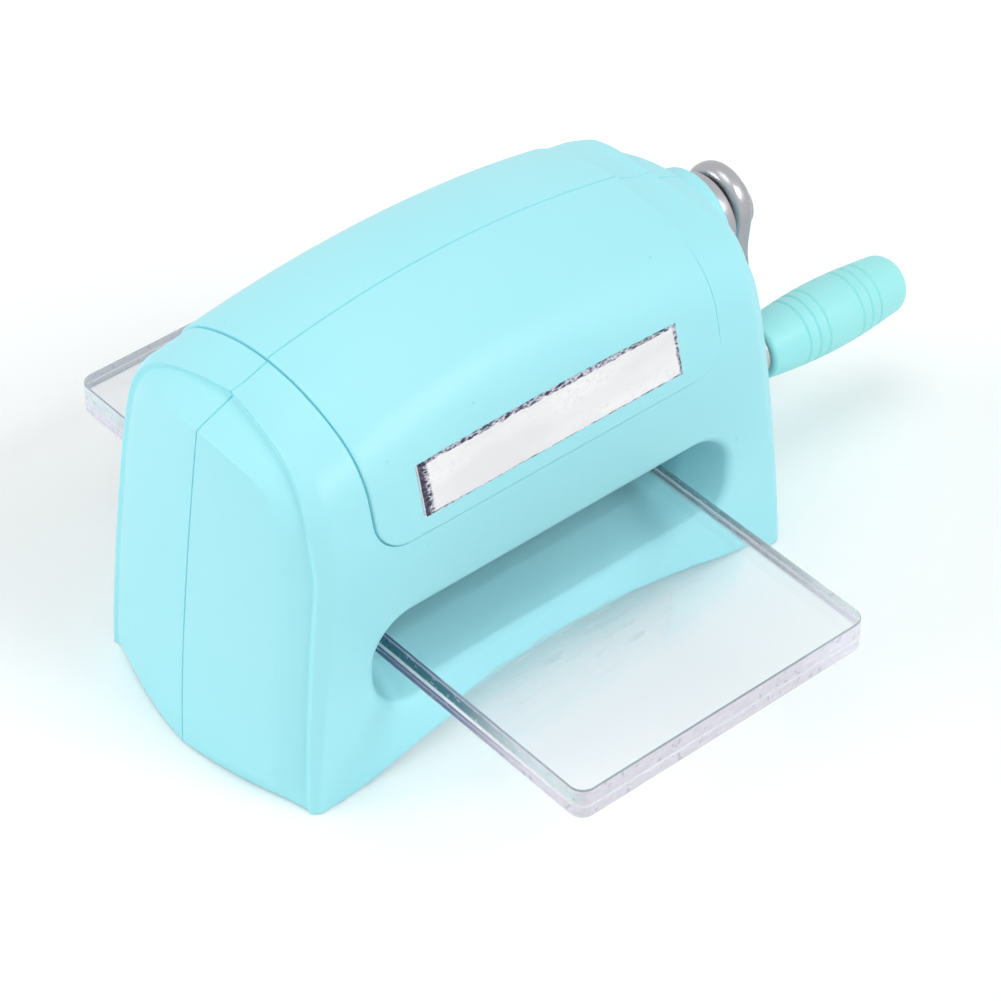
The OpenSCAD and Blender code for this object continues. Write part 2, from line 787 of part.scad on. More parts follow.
module crank_arm() {
    color(chrome) crank_turn() difference() {
        union() {
            round_eye(arm_hub_r, crank_z);
            round_eye(arm_tip_r, crank_z - throw);
            translate([arm_x + arm_t / 2, 0, crank_z - throw]) linear_extrude(throw) {
                square([arm_t - 2 * arm_edge, arm_w], center = true);
                square([arm_t, arm_w - 2 * arm_edge], center = true);
                for (sx = [-1, 1], sy = [-1, 1])
                    translate([sx * (arm_t / 2 - arm_edge), sy * (arm_w / 2 - arm_edge)])
                        circle(arm_edge);
            }
        }
        flatted_end(arm_x - past, arm_x + arm_t + past);
        tilt_pin() {
            rod_x(arm_x - past, arm_x + arm_t + past, grip_pin_d / 2, 0, crank_z - throw);
            rod_x(arm_x + arm_t, arm_x + arm_t + pin_shoulder, grip_pin_d / 2 + 2, 0,
                  crank_z - throw);
        }
    }
}

module arm_washer() {
    color(chrome) difference() {
        rod_x(arm_x + arm_t, arm_x + arm_t + washer_t, crank_d, 0, crank_z);
        rod_x(arm_x, arm_x + arm_t + washer_t + past, screw_d / 2 + screw_gap / 2, 0, crank_z);
    }
}

module arm_screw() {
    color(steel) translate([arm_x + arm_t + washer_t, 0, crank_z]) rotate([0, -90, 0])
        screw(arm_screw_len);
}

module grip_pin() {
    color(steel) crank_turn() tilt_pin() difference() {
        union() {
            rod_x(arm_x + 0.3, grip_x + grip_bore - 1, grip_pin_d / 2, 0, crank_z - throw);
            rod_x(arm_x + arm_t, arm_x + arm_t + pin_shoulder, grip_pin_d / 2 + 2, 0,
                  crank_z - throw);
        }
        difference() {
            rod_x(grip_x + clip_at, grip_x + clip_at + clip_t, grip_pin_d, 0, crank_z - throw);
            rod_x(grip_x, grip_x + grip_bore, grip_pin_d / 2 - groove_d, 0, crank_z - throw);
        }
    }
}

module grip_clip() {
    color(steel) crank_turn() tilt_pin() difference() {
        rod_x(grip_x + clip_at, grip_x + clip_at + clip_t, grip_pin_d / 2 + 1, 0,
              crank_z - throw);
        rod_x(grip_x, grip_x + grip_bore, grip_pin_d / 2 - groove_d, 0, crank_z - throw);
        translate([grip_x + clip_at - past, -grip_pin_d / 6, crank_z - throw])
            cube([clip_t + 2 * past, grip_pin_d / 3, grip_pin_d]);
    }
}

// Radius of the grip at a distance from its inner end
function grip_r(x) =
    let (share = min(1, x / (grip_len - grip_dome)))
    grip_d / 2 + (grip_tip_d - grip_d) / 2 * share + grip_swell * sin(180 * share);

module grip() {
    body_len = grip_len - grip_dome;
    color(mint) crank_turn() tilt_pin() translate([grip_x, 0, crank_z - throw])
        rotate([0, 90, 0]) difference() {
            rotate_extrude() polygon(concat(
                [[0, 0], [grip_d / 2 - 0.8, 0]],
                [for (i = [0 : 10]) let (x = max(0.8, body_len * i / 10)) [grip_r(x), x]],
                [for (i = [1 : 6]) let (a = 90 * i / 6)
                    [i == 6 ? 0 : grip_tip_d / 2 * cos(a), body_len + grip_dome * sin(a)]]));
            translate([0, 0, -past]) cylinder(r = grip_pin_d / 2 + grip_gap, h = grip_bore + past);
            translate([0, 0, clip_at - 0.5])
                cylinder(r = grip_pin_d / 2 + 1.5, h = clip_t + 1);
            for (at = ring_at, i = [0 : 2])
                translate([0, 0, at + i * ring_pitch - ring_w / 2]) difference() {
                    cylinder(r = grip_d, h = ring_w);
                    translate([0, 0, -past])
                        cylinder(r = grip_r(at + ring_pitch) - ring_d, h = ring_w + 2 * past);
                }
        }
}

module plate(t, z) {
    translate([plate_x, plate_y, z]) linear_extrude(t) {
        square([plate_w - 2 * plate_r, plate_len], center = true);
        square([plate_w, plate_len - 2 * plate_r], center = true);
        for (sx = [-1, 1], sy = [-1, 1])
            translate([sx * (plate_w / 2 - plate_r), sy * (plate_len / 2 - plate_r)])
                circle(plate_r);
    }
}

module top_plate() {
    color(clear) plate(top_plate_t, plate_z + bottom_plate_t);
}

module bottom_plate() {
    color(clear) plate(bottom_plate_t, plate_z);
}

front_shell();
rear_shell();
front_label();
left_frame();
right_frame();
tie_rods();
frame_screws();
foot_screws();
shell_screws();
rubber_feet();
roller_bushes();
crank_bushes();
upper_roller();
roller_gear();
roller_gear_pin();
upper_roller_clip();
lower_roller();
lower_roller_clips();
crank_shaft();
drive_pinion();
drive_pinion_pin();
crank_clip();
hub_disc();
crank_arm();
arm_washer();
arm_screw();
grip_pin();
grip_clip();
grip();
top_plate();
bottom_plate();
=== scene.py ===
import math

import bpy
import bmesh
import numpy as np
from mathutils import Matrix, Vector


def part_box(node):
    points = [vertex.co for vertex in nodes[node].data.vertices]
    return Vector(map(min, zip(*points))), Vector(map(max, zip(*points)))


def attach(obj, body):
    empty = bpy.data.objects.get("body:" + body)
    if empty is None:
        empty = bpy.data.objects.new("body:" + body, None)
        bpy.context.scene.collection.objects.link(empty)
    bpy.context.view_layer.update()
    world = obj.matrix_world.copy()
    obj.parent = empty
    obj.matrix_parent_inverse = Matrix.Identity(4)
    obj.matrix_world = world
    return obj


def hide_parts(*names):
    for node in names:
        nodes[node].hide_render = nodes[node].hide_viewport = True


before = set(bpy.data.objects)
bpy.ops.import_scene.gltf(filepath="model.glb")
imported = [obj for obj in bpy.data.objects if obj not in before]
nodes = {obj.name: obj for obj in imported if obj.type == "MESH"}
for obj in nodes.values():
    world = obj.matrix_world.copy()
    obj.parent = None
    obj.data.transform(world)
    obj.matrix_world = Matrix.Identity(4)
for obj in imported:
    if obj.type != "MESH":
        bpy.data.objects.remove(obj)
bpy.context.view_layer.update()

mm = 0.001
crankZ = sum(c.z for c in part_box("crank_clip")) / 2 / mm  # height of the crank shaft


def only(piece):
    # every operator below works on what is selected
    bpy.ops.object.select_all(action="DESELECT")
    piece.select_set(True)
    bpy.context.view_layer.objects.active = piece


def edit(piece):
    only(piece)
    bpy.ops.object.mode_set(mode="EDIT")
    bpy.ops.mesh.select_all(action="SELECT")


def endEdit():
    bpy.ops.object.mode_set(mode="OBJECT")


def named(name):
    piece = bpy.context.active_object
    piece.name = name
    piece.data.name = name
    return piece


def settle(piece):
    # the place goes into the mesh, as it is in the nodes
    only(piece)
    bpy.ops.object.transform_apply(location=True, rotation=True, scale=True)


def facesOut(piece, merge=1e-6):
    edit(piece)
    bpy.ops.mesh.remove_doubles(threshold=merge)
    bpy.ops.mesh.dissolve_degenerate(threshold=merge)
    bpy.ops.mesh.delete_loose(use_verts=True, use_edges=True, use_faces=False)
    bpy.ops.mesh.select_all(action="SELECT")
    bpy.ops.mesh.normals_make_consistent(inside=False)
    endEdit()


def smooth(piece, angle=35):
    only(piece)
    bpy.ops.object.shade_smooth_by_angle(angle=math.radians(angle))


def cut(piece, *cutters, operation="DIFFERENCE"):
    # each cutter is used up
    for cutter in cutters:
        modifier = piece.modifiers.new("cut", "BOOLEAN")
        modifier.operation = operation
        modifier.solver = "EXACT"
        modifier.object = cutter
        only(piece)
        bpy.ops.object.modifier_apply(modifier=modifier.name)
        bpy.data.objects.remove(cutter)


def twin(piece, name):
    other = piece.copy()
    other.data = piece.data.copy()
    bpy.context.scene.collection.objects.link(other)
    other.name = name
    return other


def surface(name, rows, loop=False):
    # a grid whose points are pulled to rows[v][u], in millimetres; a loop joins its sides
    rows = np.asarray(rows, float)
    if loop:
        rows = np.concatenate([rows, rows[:, :1]], axis=1)
    nv, nu = rows.shape[:2]
    bpy.ops.mesh.primitive_grid_add(x_subdivisions=nu - 1, y_subdivisions=nv - 1, size=2)
    piece = named(name)
    mesh = piece.data
    flat = np.zeros(len(mesh.vertices) * 3)
    mesh.vertices.foreach_get("co", flat)
    flat = flat.reshape(-1, 3)
    u = np.rint((flat[:, 0] + 1) / 2 * (nu - 1)).astype(int)
    v = np.rint((flat[:, 1] + 1) / 2 * (nv - 1)).astype(int)
    mesh.vertices.foreach_set("co", (rows[v, u] * mm).ravel())
    mesh.update()
    return piece


def fillHoles(piece, merge=1e-6):
    edit(piece)
    bpy.ops.mesh.remove_doubles(threshold=merge)
    bpy.ops.mesh.select_all(action="DESELECT")
    bpy.ops.mesh.select_mode(type="EDGE")
    bpy.ops.mesh.select_non_manifold(extend=False, use_wire=False, use_boundary=True,
                                     use_multi_face=False, use_non_contiguous=False,
                                     use_verts=False)
    bpy.ops.mesh.edge_face_add()
    bpy.ops.mesh.select_mode(type="VERT")
    endEdit()
    facesOut(piece, merge)


def loft(name, loops):
    # a closed solid through the loops
    piece = surface(name, loops, loop=True)
    fillHoles(piece)
    return piece


def rod(name, start, end, radius, sides=48):
    start, end = Vector(start) * mm, Vector(end) * mm
    bpy.ops.mesh.primitive_cylinder_add(
        vertices=sides, radius=radius * mm, depth=(end - start).length,
        location=(start + end) / 2,
        rotation=(end - start).to_track_quat("Z", "Y").to_euler())
    piece = named(name)
    settle(piece)
    return piece


def turned(name, profile, start, direction, steps=96):
    # a closed cross-section of [along, radius], spun round an axis
    start, direction = Vector(start) * mm, Vector(direction).normalized()
    side = direction.orthogonal().normalized()
    bpy.ops.mesh.primitive_circle_add(vertices=len(profile), radius=mm, fill_type="NOTHING")
    piece = named(name)
    for vertex, (along, radius) in zip(piece.data.vertices, profile):
        vertex.co = start + direction * (along * mm) + side * (radius * mm)
    edit(piece)
    bpy.ops.mesh.spin(steps=steps, angle=2 * math.pi, center=start, axis=direction)
    endEdit()
    facesOut(piece, 2e-6)
    return piece


def bend(points, index, width, steps):
    # the polyline's corner at index becomes a soft curve that starts width away
    a, b, c = (np.asarray(points[i], float) for i in (index - 1, index, index + 1))
    before, after = a - b, c - b
    lengths = np.linalg.norm(before), np.linalg.norm(after)
    start = b + before * min(0.5, width / max(lengths[0], 1e-9))
    end = b + after * min(0.5, width / max(lengths[1], 1e-9))
    t = np.linspace(0, 1, steps + 1)[:, None]
    return (1 - t) ** 2 * start + 2 * t * (1 - t) * b + t ** 2 * end


# lengths are in millimetres and slopes in degrees, here and in each piece's values below
casing = dict(
    width=131.2, depth=63.4, height=84.7, ground=0.3, wall=2.4, floor=5,
    lean=0.8, shoulder=53.5, tilt=14, crown=193, ridge=45, edgeRidge=50, round=16,
    band=49.5, panel=41.3, panelRise=0.6, panelFoot=53.5, panelCorner=7,
    edgeY=(1.1, 2.1), step=1.3, bevel=0.5, edgeIn=6.7,
    faceHeight=72.4, faceFoot=50, faceTop=45, faceShoulder=50, faceTilt=5, faceRound=9,
    bulge=3.4, endLean=8, footBevel=2.3, footBevelHeight=7,
    mouth=(88, 22, 9.5), throat=(80, 16, 5), mouthZ=26.25, funnel=11,
    throatDepth=18, rim=1.4,
    archHalf=46, archRise=7, collar=11.2, collarX=62, seam=(0.2, 0.4), gap=(0.34, 0.5),
    screws=((30, 71), (53, 24.2)), post=4, pilot=1.5, shank=1.8, head=3.1,
    footX=52, footScrewY=-11, padY=-22, padRadius=4.5)
halfDepth = casing["depth"] / 2
skinTop = casing["height"] - casing["panelRise"]
archRadius = (casing["archHalf"] ** 2 + casing["archRise"] ** 2) / 2 / casing["archRise"]


def crownAt(x):
    # height of the top beside the raised panel
    return skinTop - casing["crown"] + math.sqrt(casing["crown"] ** 2 - x * x)


def endAt(z):
    # half width of the casing at a height
    return casing["width"] / 2 - casing["endLean"] * (max(z, 0) / casing["faceHeight"]) ** 1.4


def section(baseY, topY, topZ, fromZ, tilt, ridge, r, baseZ, fine):
    # front half of a cross-section as (y, z): face, shoulder, round and ridge, to the middle
    tilt = math.radians(tilt)
    reach = topY * math.cos(tilt) + fromZ * math.sin(tilt)
    turn = math.asin((reach - r - (topZ - ridge) * math.sin(tilt)) / (ridge - r)) - tilt
    cy, cz = (ridge - r) * math.sin(turn), topZ - ridge + (ridge - r) * math.cos(turn)
    low = max(baseZ + 0.5, casing["ground"] + 5)
    face = lambda z: (-baseY + (baseY - topY) * z / fromZ, z)
    upright = math.radians(90) - tilt
    start = (-cy - r * math.cos(tilt), cz + r * math.sin(tilt))
    counts = (5, 34, 10, 16, 26) if fine else (1, 3, 2, 5, 4)

    def spread(p, q, n):
        p, q = np.asarray(p), np.asarray(q)
        return [tuple(p + (q - p) * i / n) for i in range(n)]

    corner = bend([face(low), face(fromZ), start], 1, 5, counts[2] if fine else 1)
    points = spread(face(baseZ), face(low), counts[0])
    points += spread(face(low), corner[0], counts[1])
    points += [tuple(p) for p in corner[:-1]]
    points += spread(corner[-1], start, counts[2])
    for i in range(counts[3]):
        a = upright + (turn + tilt - math.radians(90)) * i / counts[3]
        points.append((-cy - r * math.sin(a), cz + r * math.cos(a)))
    for i in range(counts[4] + 1):
        a = turn * (1 - i / counts[4])
        points.append((-ridge * math.sin(a), topZ - ridge + ridge * math.cos(a)))
    return points


def flatRing(x, g, baseZ, fine):
    # the section at x; here and below, g shrinks it to make the inside
    points = section(halfDepth - g, halfDepth - casing["lean"] - g, crownAt(x) - g,
                     casing["shoulder"], casing["tilt"], casing["ridge"] - g,
                     casing["round"] - g, baseZ, fine)
    return np.array([(x, y, z) for y, z in points])


def edgeRing(inY, inZ, back, g, baseZ, fine):
    # a crease between the end and the front, set in and back at the ground and at the shoulder
    topZ = crownAt(casing["band"]) - inZ - g
    foot = casing["shoulder"]
    wide = endAt(foot) - casing["edgeIn"]
    ring = []
    for y, z in section(halfDepth - inY[0] - g, halfDepth - casing["lean"] - inY[1] - g, topZ,
                        foot, casing["tilt"], casing["edgeRidge"] - g, casing["round"] - g,
                        baseZ, fine):
        rise = min(1, max(0, (z - foot) / (topZ - foot)))
        x = (endAt(z) - casing["edgeIn"] if rise == 0 else
             casing["band"] + (wide - casing["band"]) * math.sqrt(1 - rise * rise))
        ring.append((x - back[0] - (back[1] - back[0]) * min(1, z / foot) - g, y, z))
    return np.array(ring)


def faceRing(share, g, baseZ, fine):
    # the end face's outline, drawn in to a share of its size
    ring = []
    for y, z in section(casing["faceFoot"] / 2 - g, casing["faceTop"] / 2 - g,
                        casing["faceHeight"] - g, casing["faceShoulder"], casing["faceTilt"],
                        casing["edgeRidge"] - g, casing["faceRound"] - g, baseZ, fine):
        y, z = y * share, baseZ + (z - baseZ) * (1 - 0.06 * (1 - share))
        tall = casing["footBevelHeight"] * share
        bevel = casing["footBevel"] * share * max(0, 1 - (z - casing["ground"]) / max(tall, 0.1))
        bulge = casing["bulge"] * (2 * y / casing["faceFoot"]) ** 2
        ring.append((endAt(z) - bulge - bevel - g, y, z))
    return np.array(ring)


def between(a, b, n):
    return [a + (b - a) * i / n for i in range(1, n)]


def softCorner(rings, i, width, n):
    # row by row, the crease along ring i becomes a soft curve
    a, b, c = rings[i - 1], rings[i], rings[i + 1]
    return [np.array(column) for column in
            np.swapaxes([bend([a[k], b[k], c[k]], 1, width, n) for k in range(len(b))], 0, 1)]


def sideRings(g, baseZ, fine):
    # from the middle of the end to the middle of the casing
    edgeY, step, bevel = casing["edgeY"], casing["step"], casing["bevel"]
    shares = np.linspace(0, 0.9, 13) if fine else (0, 0.5)
    face = [faceRing(share, g, baseZ, fine) for share in shares]
    creases = [face[-1], faceRing(1, g, baseZ, fine),
               edgeRing([e + step for e in edgeY], bevel + step, (0.05, 0.05), g, baseZ, fine),
               edgeRing(edgeY, bevel, (-0.35, -0.35), g, baseZ, fine),
               edgeRing((0, 0), 0, (edgeY[0], edgeY[1] + 0.7), g, baseZ, fine),
               flatRing(casing["panel"], g, baseZ, fine)]
    if not fine:
        return face + creases[1:] + [flatRing(casing["panel"] * share, g, baseZ, False)
                                     for share in (0.67, 0.33)]
    rings = list(face)
    corners = ((1.6, 8, 3), (0.35, 4, 6), (0.35, 4, 3), (0.7, 6, 3))
    for i, (width, bends, flats) in enumerate(corners, 1):
        corner = softCorner(creases, i, width, bends)
        rings += between(rings[-1], corner[0], flats) + corner
    rings += between(rings[-1], creases[5], 8)
    rings += [flatRing(x, g, baseZ, fine) for x in np.linspace(casing["panel"], 0, 31)[:-1]]
    return rings


seamWidth, seamDepth = casing["seam"]
gapWidth, gapDepth = casing["gap"]  # the groove round the raised panel
heart = (0, 0, 35)  # the seam's groove sinks towards this point


def seamGroove(grid):
    # a fine V along the parting plane: one more row and column beside it, and its edge sunk
    def beside(edge, inner):
        share = seamWidth / np.maximum(np.abs(inner[:, 1:2]), seamWidth)
        return edge + (inner - edge) * share

    grid = np.concatenate([grid[:-1], beside(grid[-1], grid[-2])[None], grid[-1:]])
    left, right = beside(grid[:, 0], grid[:, 1]), beside(grid[:, -1], grid[:, -2])
    columns = [grid[:, :1], left[:, None], grid[:, 1:-1], right[:, None], grid[:, -1:]]
    grid = np.concatenate(columns, axis=1)
    inwards = heart - grid
    inwards[..., 1] = 0
    inwards /= np.linalg.norm(inwards, axis=2, keepdims=True)
    sunk = np.zeros(grid.shape[:2])
    sunk[-1, :] = sunk[:, 0] = sunk[:, -1] = seamDepth
    sunk[0, :] = 0
    return grid + inwards * sunk[..., None]


def skin(name, g, baseZ, seam, fine):
    # one casing half as a closed solid: a sheet pulled over the sections, then its back and foot
    side = sideRings(g, baseZ, fine)
    rings = [r * (-1, 1, 1) for r in side] + [flatRing(0, g, baseZ, fine)] + side[::-1]
    grid = np.swapaxes(np.array(rings), 0, 1)
    if fine:
        grid = seamGroove(grid)
    grid[..., 1] = np.where(grid[..., 1] > -0.001, seam, grid[..., 1])
    piece = surface(name, grid)
    nv, nu = grid.shape[:2]
    index = lambda v, u: v * nu + u  # the grid primitive numbers its points row by row
    foot = [index(0, u) for u in range(nu)]
    back = [index(v, 0) for v in range(nv)]
    back += [index(nv - 1, u) for u in range(1, nu)]
    back += [index(v, nu - 1) for v in range(nv - 2, -1, -1)]
    mesh = bmesh.new()
    mesh.from_mesh(piece.data)
    mesh.verts.ensure_lookup_table()
    for loop in (foot, back):
        mesh.faces.new([mesh.verts[i] for i in loop])
    mesh.to_mesh(piece.data)
    mesh.free()
    facesOut(piece)
    return piece


def roundedRect(w, h, r, n=10):
    points = []
    for cx, cz, start in ((w / 2 - r, h / 2 - r, 0), (r - w / 2, h / 2 - r, 90),
                          (r - w / 2, r - h / 2, 180), (w / 2 - r, r - h / 2, 270)):
        for i in range(n + 1):
            a = math.radians(start + 90 * i / n)
            points.append((cx + r * math.cos(a), cz + r * math.sin(a)))
    return points


def funnelLoop(depth, grow):
    # the funnel's cross-section at a depth behind the casing's face
    share = min(1, max(0, depth / casing["funnel"]))
    (mw, mh, mr), (tw, th, tr) = casing["mouth"], casing["throat"]
    w, h, r = (a + (b - a) * share for a, b in ((mw, tw), (mh, th), (mr, tr)))
    lean, middle = casing["lean"] / casing["shoulder"], casing["mouthZ"]
    return [(x, -halfDepth + lean * (middle + z) * (1 - share) + depth, middle + z)
            for x, z in roundedRect(w + 2 * grow, h + 2 * grow, r + grow)]


def rimLoops(radius):
    # the soft edge of an opening, as (depth, grow), from outside the face inwards
    steepest, outside = math.radians(72), 0.6
    rims = [(-outside, radius * (1 - math.cos(steepest)) + outside * math.tan(steepest))]
    for slope in (72, 60, 48, 36, 24, 12, 0):
        a = math.radians(slope)
        rims.append((radius * (1 - math.sin(a)), radius * (1 - math.cos(a))))
    return rims


def archLoop(y, grow):
    # the arch under the casing, as a closed cross-section at a depth y
    r, cz = archRadius + grow, casing["ground"] + casing["archRise"] - archRadius
    foot = math.asin(min(1, (casing["archHalf"] + grow) / r))
    arc = [(r * math.sin(a), cz + r * math.cos(a)) for a in np.linspace(-foot, foot, 49)]
    left = bend([(-60, casing["ground"] - 0.25), arc[0], arc[4]], 1, 5, 6)
    right = bend([arc[-5], arc[-1], (60, casing["ground"] - 0.25)], 1, 5, 6)
    top = [tuple(p) for p in left] + arc[5:-5] + [tuple(p) for p in right]
    return [(x, y, z) for x, z in [(top[0][0], -4)] + top + [(top[-1][0], -4)]]


def castHalf():
    # the front half, with everything that the rear half also has
    wall, floor = casing["wall"], casing["floor"]
    inside = skin("inside", wall, floor, 1, False)
    deep = casing["throatDepth"]
    cut(inside, loft("archWall", [archLoop(y, wall) for y in (-40, 10)]),
        loft("funnelWall", [funnelLoop(d, wall) for d in (-3, 0, casing["funnel"], 14, deep)]))
    for side in (-1, 1):
        for x, z in casing["screws"]:
            cut(inside, rod("post", (side * x, -40, z), (side * x, 5, z), casing["post"], 32))
    shell = skin("shell", 0, casing["ground"], 0, True)
    cut(shell, inside)
    rims = rimLoops(casing["rim"])
    cut(shell, loft("funnel", [funnelLoop(d, g) for d, g in rims]
                    + [funnelLoop(d, 0) for d in (4, 7, 10, casing["funnel"], 14.5, deep + 2)]))
    small = rimLoops(0.5)
    cut(shell, loft("arch", [archLoop(-halfDepth + 0.15 + d, g) for d, g in small]
                    + [archLoop(y, 0) for y in (-20, 5)]))
    screwY, padY = casing["footScrewY"], casing["padY"]
    for side in (-1, 1):
        x = side * casing["footX"]
        cut(shell, rod("footHole", (x, screwY, -1), (x, screwY, 8), casing["shank"], 24),
            rod("footSeat", (x, screwY, -1), (x, screwY, 2.2), casing["head"], 32),
            rod("footPocket", (x, padY, -1), (x, padY, 1.8), casing["padRadius"], 40))
        for x, z in casing["screws"]:
            cut(shell, rod("pilot", (side * x, -11, z), (side * x, 5, z), casing["pilot"], 24))
    return shell


def wrapper():
    # wraps a flat drawing over the front: x across, and s up along the section from the
    # panel's foot
    rings = {}

    def ringAt(x):
        key = round(x, 3)
        if key not in rings:
            ring = flatRing(key, 0, casing["ground"], True)[:, 1:]
            foot = np.interp(casing["panelFoot"], ring[:, 1], np.arange(len(ring)))
            low = ring[int(foot)] + (ring[int(foot) + 1] - ring[int(foot)]) * (foot % 1)
            ring = np.concatenate([[low], ring[int(foot) + 1:]])
            run = np.concatenate([[0], np.cumsum(np.linalg.norm(np.diff(ring, axis=0), axis=1))])
            rings[key] = (ring, run / run[-1])
        return rings[key]

    ring, _ = ringAt(0)
    full = float(np.sum(np.linalg.norm(np.diff(ring, axis=0), axis=1)))

    def pointAt(x, s):
        ring, run = ringAt(x)
        share = min(1, max(0, s / full))
        here = Vector((x, np.interp(share, run, ring[:, 0]), np.interp(share, run, ring[:, 1])))
        if s < 0:
            here += Vector((0, *(ring[1] - ring[0]))).normalized() * s
        return here

    def wrap(x, s, h):
        step = 0.4
        along = pointAt(x, min(full, s + step)) - pointAt(x, s - step)
        across = pointAt(x + 0.5, s) - pointAt(x - 0.5, s)
        if s > full - step:
            along.z = 0  # the top is level at the parting plane
        return pointAt(x, s) + across.cross(along).normalized() * h

    return wrap, full


wrap, panelRun = wrapper()


def rimHeight(depth, rise, radius):
    # height of a raised plate's rounded edge, a depth in from its border
    if depth < 0.02:
        return -0.9  # the border itself stands inside the wall
    if depth >= radius:
        return rise
    return rise - radius * (1 - math.sqrt(1 - (1 - depth / radius) ** 2)) * 0.9


def gridCut(piece, xs, ys):
    # finer faces, so that the sheet can follow a curve
    only(piece)
    bpy.ops.object.mode_set(mode="EDIT")
    for places, normal in ((xs, (1, 0, 0)), (ys, (0, 1, 0))):
        for place in places:
            bpy.ops.mesh.select_all(action="SELECT")
            bpy.ops.mesh.bisect(plane_co=[c * place * mm for c in normal], plane_no=normal)
    endEdit()


def sheetOf(name, low, high, corner, insets):
    # a flat sheet with its lower corners rounded, its border inset ring by ring
    bpy.ops.mesh.primitive_plane_add(size=1)
    piece = named(name)
    for vertex in piece.data.vertices:
        vertex.co = Vector((low[0] if vertex.co.x < 0 else high[0],
                            low[1] if vertex.co.y < 0 else high[1], 0)) * mm
    only(piece)
    bpy.ops.object.mode_set(mode="EDIT")
    bpy.ops.mesh.select_mode(type="VERT")
    mesh = bmesh.from_edit_mesh(piece.data)
    for vertex in mesh.verts:
        vertex.select = vertex.co.y < low[1] * mm + 1e-6
    mesh.select_flush(True)
    if corner:
        bpy.ops.mesh.bevel(offset=corner * mm, segments=14, affect="VERTICES")
    bpy.ops.mesh.select_mode(type="FACE")
    bpy.ops.mesh.select_all(action="SELECT")
    for depth in insets:
        bpy.ops.mesh.inset(thickness=depth * mm, use_boundary=True)
    endEdit()
    return piece


def wrapped(piece, heightAt, under):
    # gives the flat sheet its heights and its underside, and wraps it
    for vertex in piece.data.vertices:
        vertex.co.z = heightAt(vertex.co.x / mm, vertex.co.y / mm) * mm
    edit(piece)
    bpy.ops.mesh.extrude_region_move()
    mesh = bmesh.from_edit_mesh(piece.data)
    for vertex in mesh.verts:
        if vertex.select:
            vertex.co.z = under * mm
    endEdit()
    for vertex in piece.data.vertices:
        vertex.co = wrap(*(vertex.co / mm)) * mm
    facesOut(piece)
    return piece


def panelSheet(name, grow, rings, xs, ys, hollow=False):
    # the panel's outline with its border grown; hollow keeps only the ring of the insets
    half = casing["panel"] + grow
    piece = sheetOf(name, (-half, -grow), (half, panelRun + 4), casing["panelCorner"] + grow,
                    rings)
    if hollow:
        bpy.ops.object.mode_set(mode="EDIT")
        bpy.ops.mesh.delete(type="FACE")
        endEdit()
    gridCut(piece, xs, ys)
    edit(piece)
    bpy.ops.mesh.bisect(plane_co=(0, panelRun * mm, 0), plane_no=(0, 1, 0), clear_outer=True)
    endEdit()
    return piece


def panelGroove():
    # a cutter for the fine groove round the panel
    half = casing["panel"]
    piece = panelSheet("groove", gapWidth, (gapWidth + 0.04,),
                       np.linspace(-half + 3, half - 3, 31),
                       list(np.linspace(2.2, panelRun - 1, 34)) + [panelRun], hollow=True)
    wrapped(piece, lambda x, s: 1.5, -gapDepth)
    for vertex in piece.data.vertices:
        if vertex.co.y > -0.02 * mm:
            vertex.co.y = mm  # runs out through the parting plane
    return piece


def panelSlab():
    half, corner = casing["panel"], casing["panelCorner"]
    rows = list(np.linspace(2.2, panelRun - 1, 44)) + [panelRun - seamWidth, panelRun]
    piece = panelSheet("panel", 0, (0.03, 0.05, 0.08, 0.12, 0.18, 0.3, 0.8),
                       np.linspace(-half + 3, half - 3, 45), rows)

    def heightAt(x, s):
        depth = min(half - abs(x), s)
        if abs(x) > half - corner and s < corner:
            depth = corner - math.hypot(abs(x) - half + corner, corner - s)
        seam = seamDepth if s > panelRun - 0.01 else 0
        return rimHeight(depth, casing["panelRise"], 0.5) - seam

    return wrapped(piece, heightAt, -1.8)  # its underside lies within the wall


def collarHalf():
    x, r, edge = casing["collarX"], casing["collar"], 0.9
    arc = [(x - edge + edge * math.sin(a), r - edge + edge * math.cos(a))
           for a in np.linspace(0, math.pi / 2, 7)]
    profile = [(57.3, 0), (57.3, r)] + arc + [(x, 4.4), (x - 0.5, 3.9), (x - 0.5, 0)]
    collar = turned("collar", profile, (0, 0, crankZ), (1, 0, 0), 96)
    edit(collar)
    bpy.ops.mesh.bisect(plane_co=(0, 0, 0), plane_no=(0, 1, 0), use_fill=True, clear_outer=True)
    endEdit()
    facesOut(collar)
    return collar


def makeCasing():
    front = castHalf()
    cut(front, panelSlab(), operation="UNION")
    cut(front, panelGroove())
    cut(front, collarHalf(), operation="UNION")
    cut(front, rod("crankHole", (50, 0, crankZ), (64, 0, crankZ), 3.5, 48))
    rear = twin(front, "casing.rear")
    for vertex in rear.data.vertices:
        vertex.co.y *= -1
    facesOut(rear)
    for side in (-1, 1):
        for x, z in casing["screws"]:
            cut(rear, rod("shank", (side * x, -1, z), (side * x, 34, z), casing["shank"], 24),
                rod("head", (side * x, 22, z), (side * x, 36, z), casing["head"], 40))
    front.name = "casing.front"
    for piece, node in ((front, "front_shell"), (rear, "rear_shell")):
        facesOut(piece)
        smooth(piece, 32)
        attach(piece, "chassis")
        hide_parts(node)
        piece.data.materials.clear()
        piece.data.materials.append(paint["casing"])
    return front, rear


# left, right, top and bottom are the widths of the mirror border
label = dict(half=31, low=57, high=67.8, thick=0.2, left=2.3, right=0.9, top=1.0, bottom=0.45)


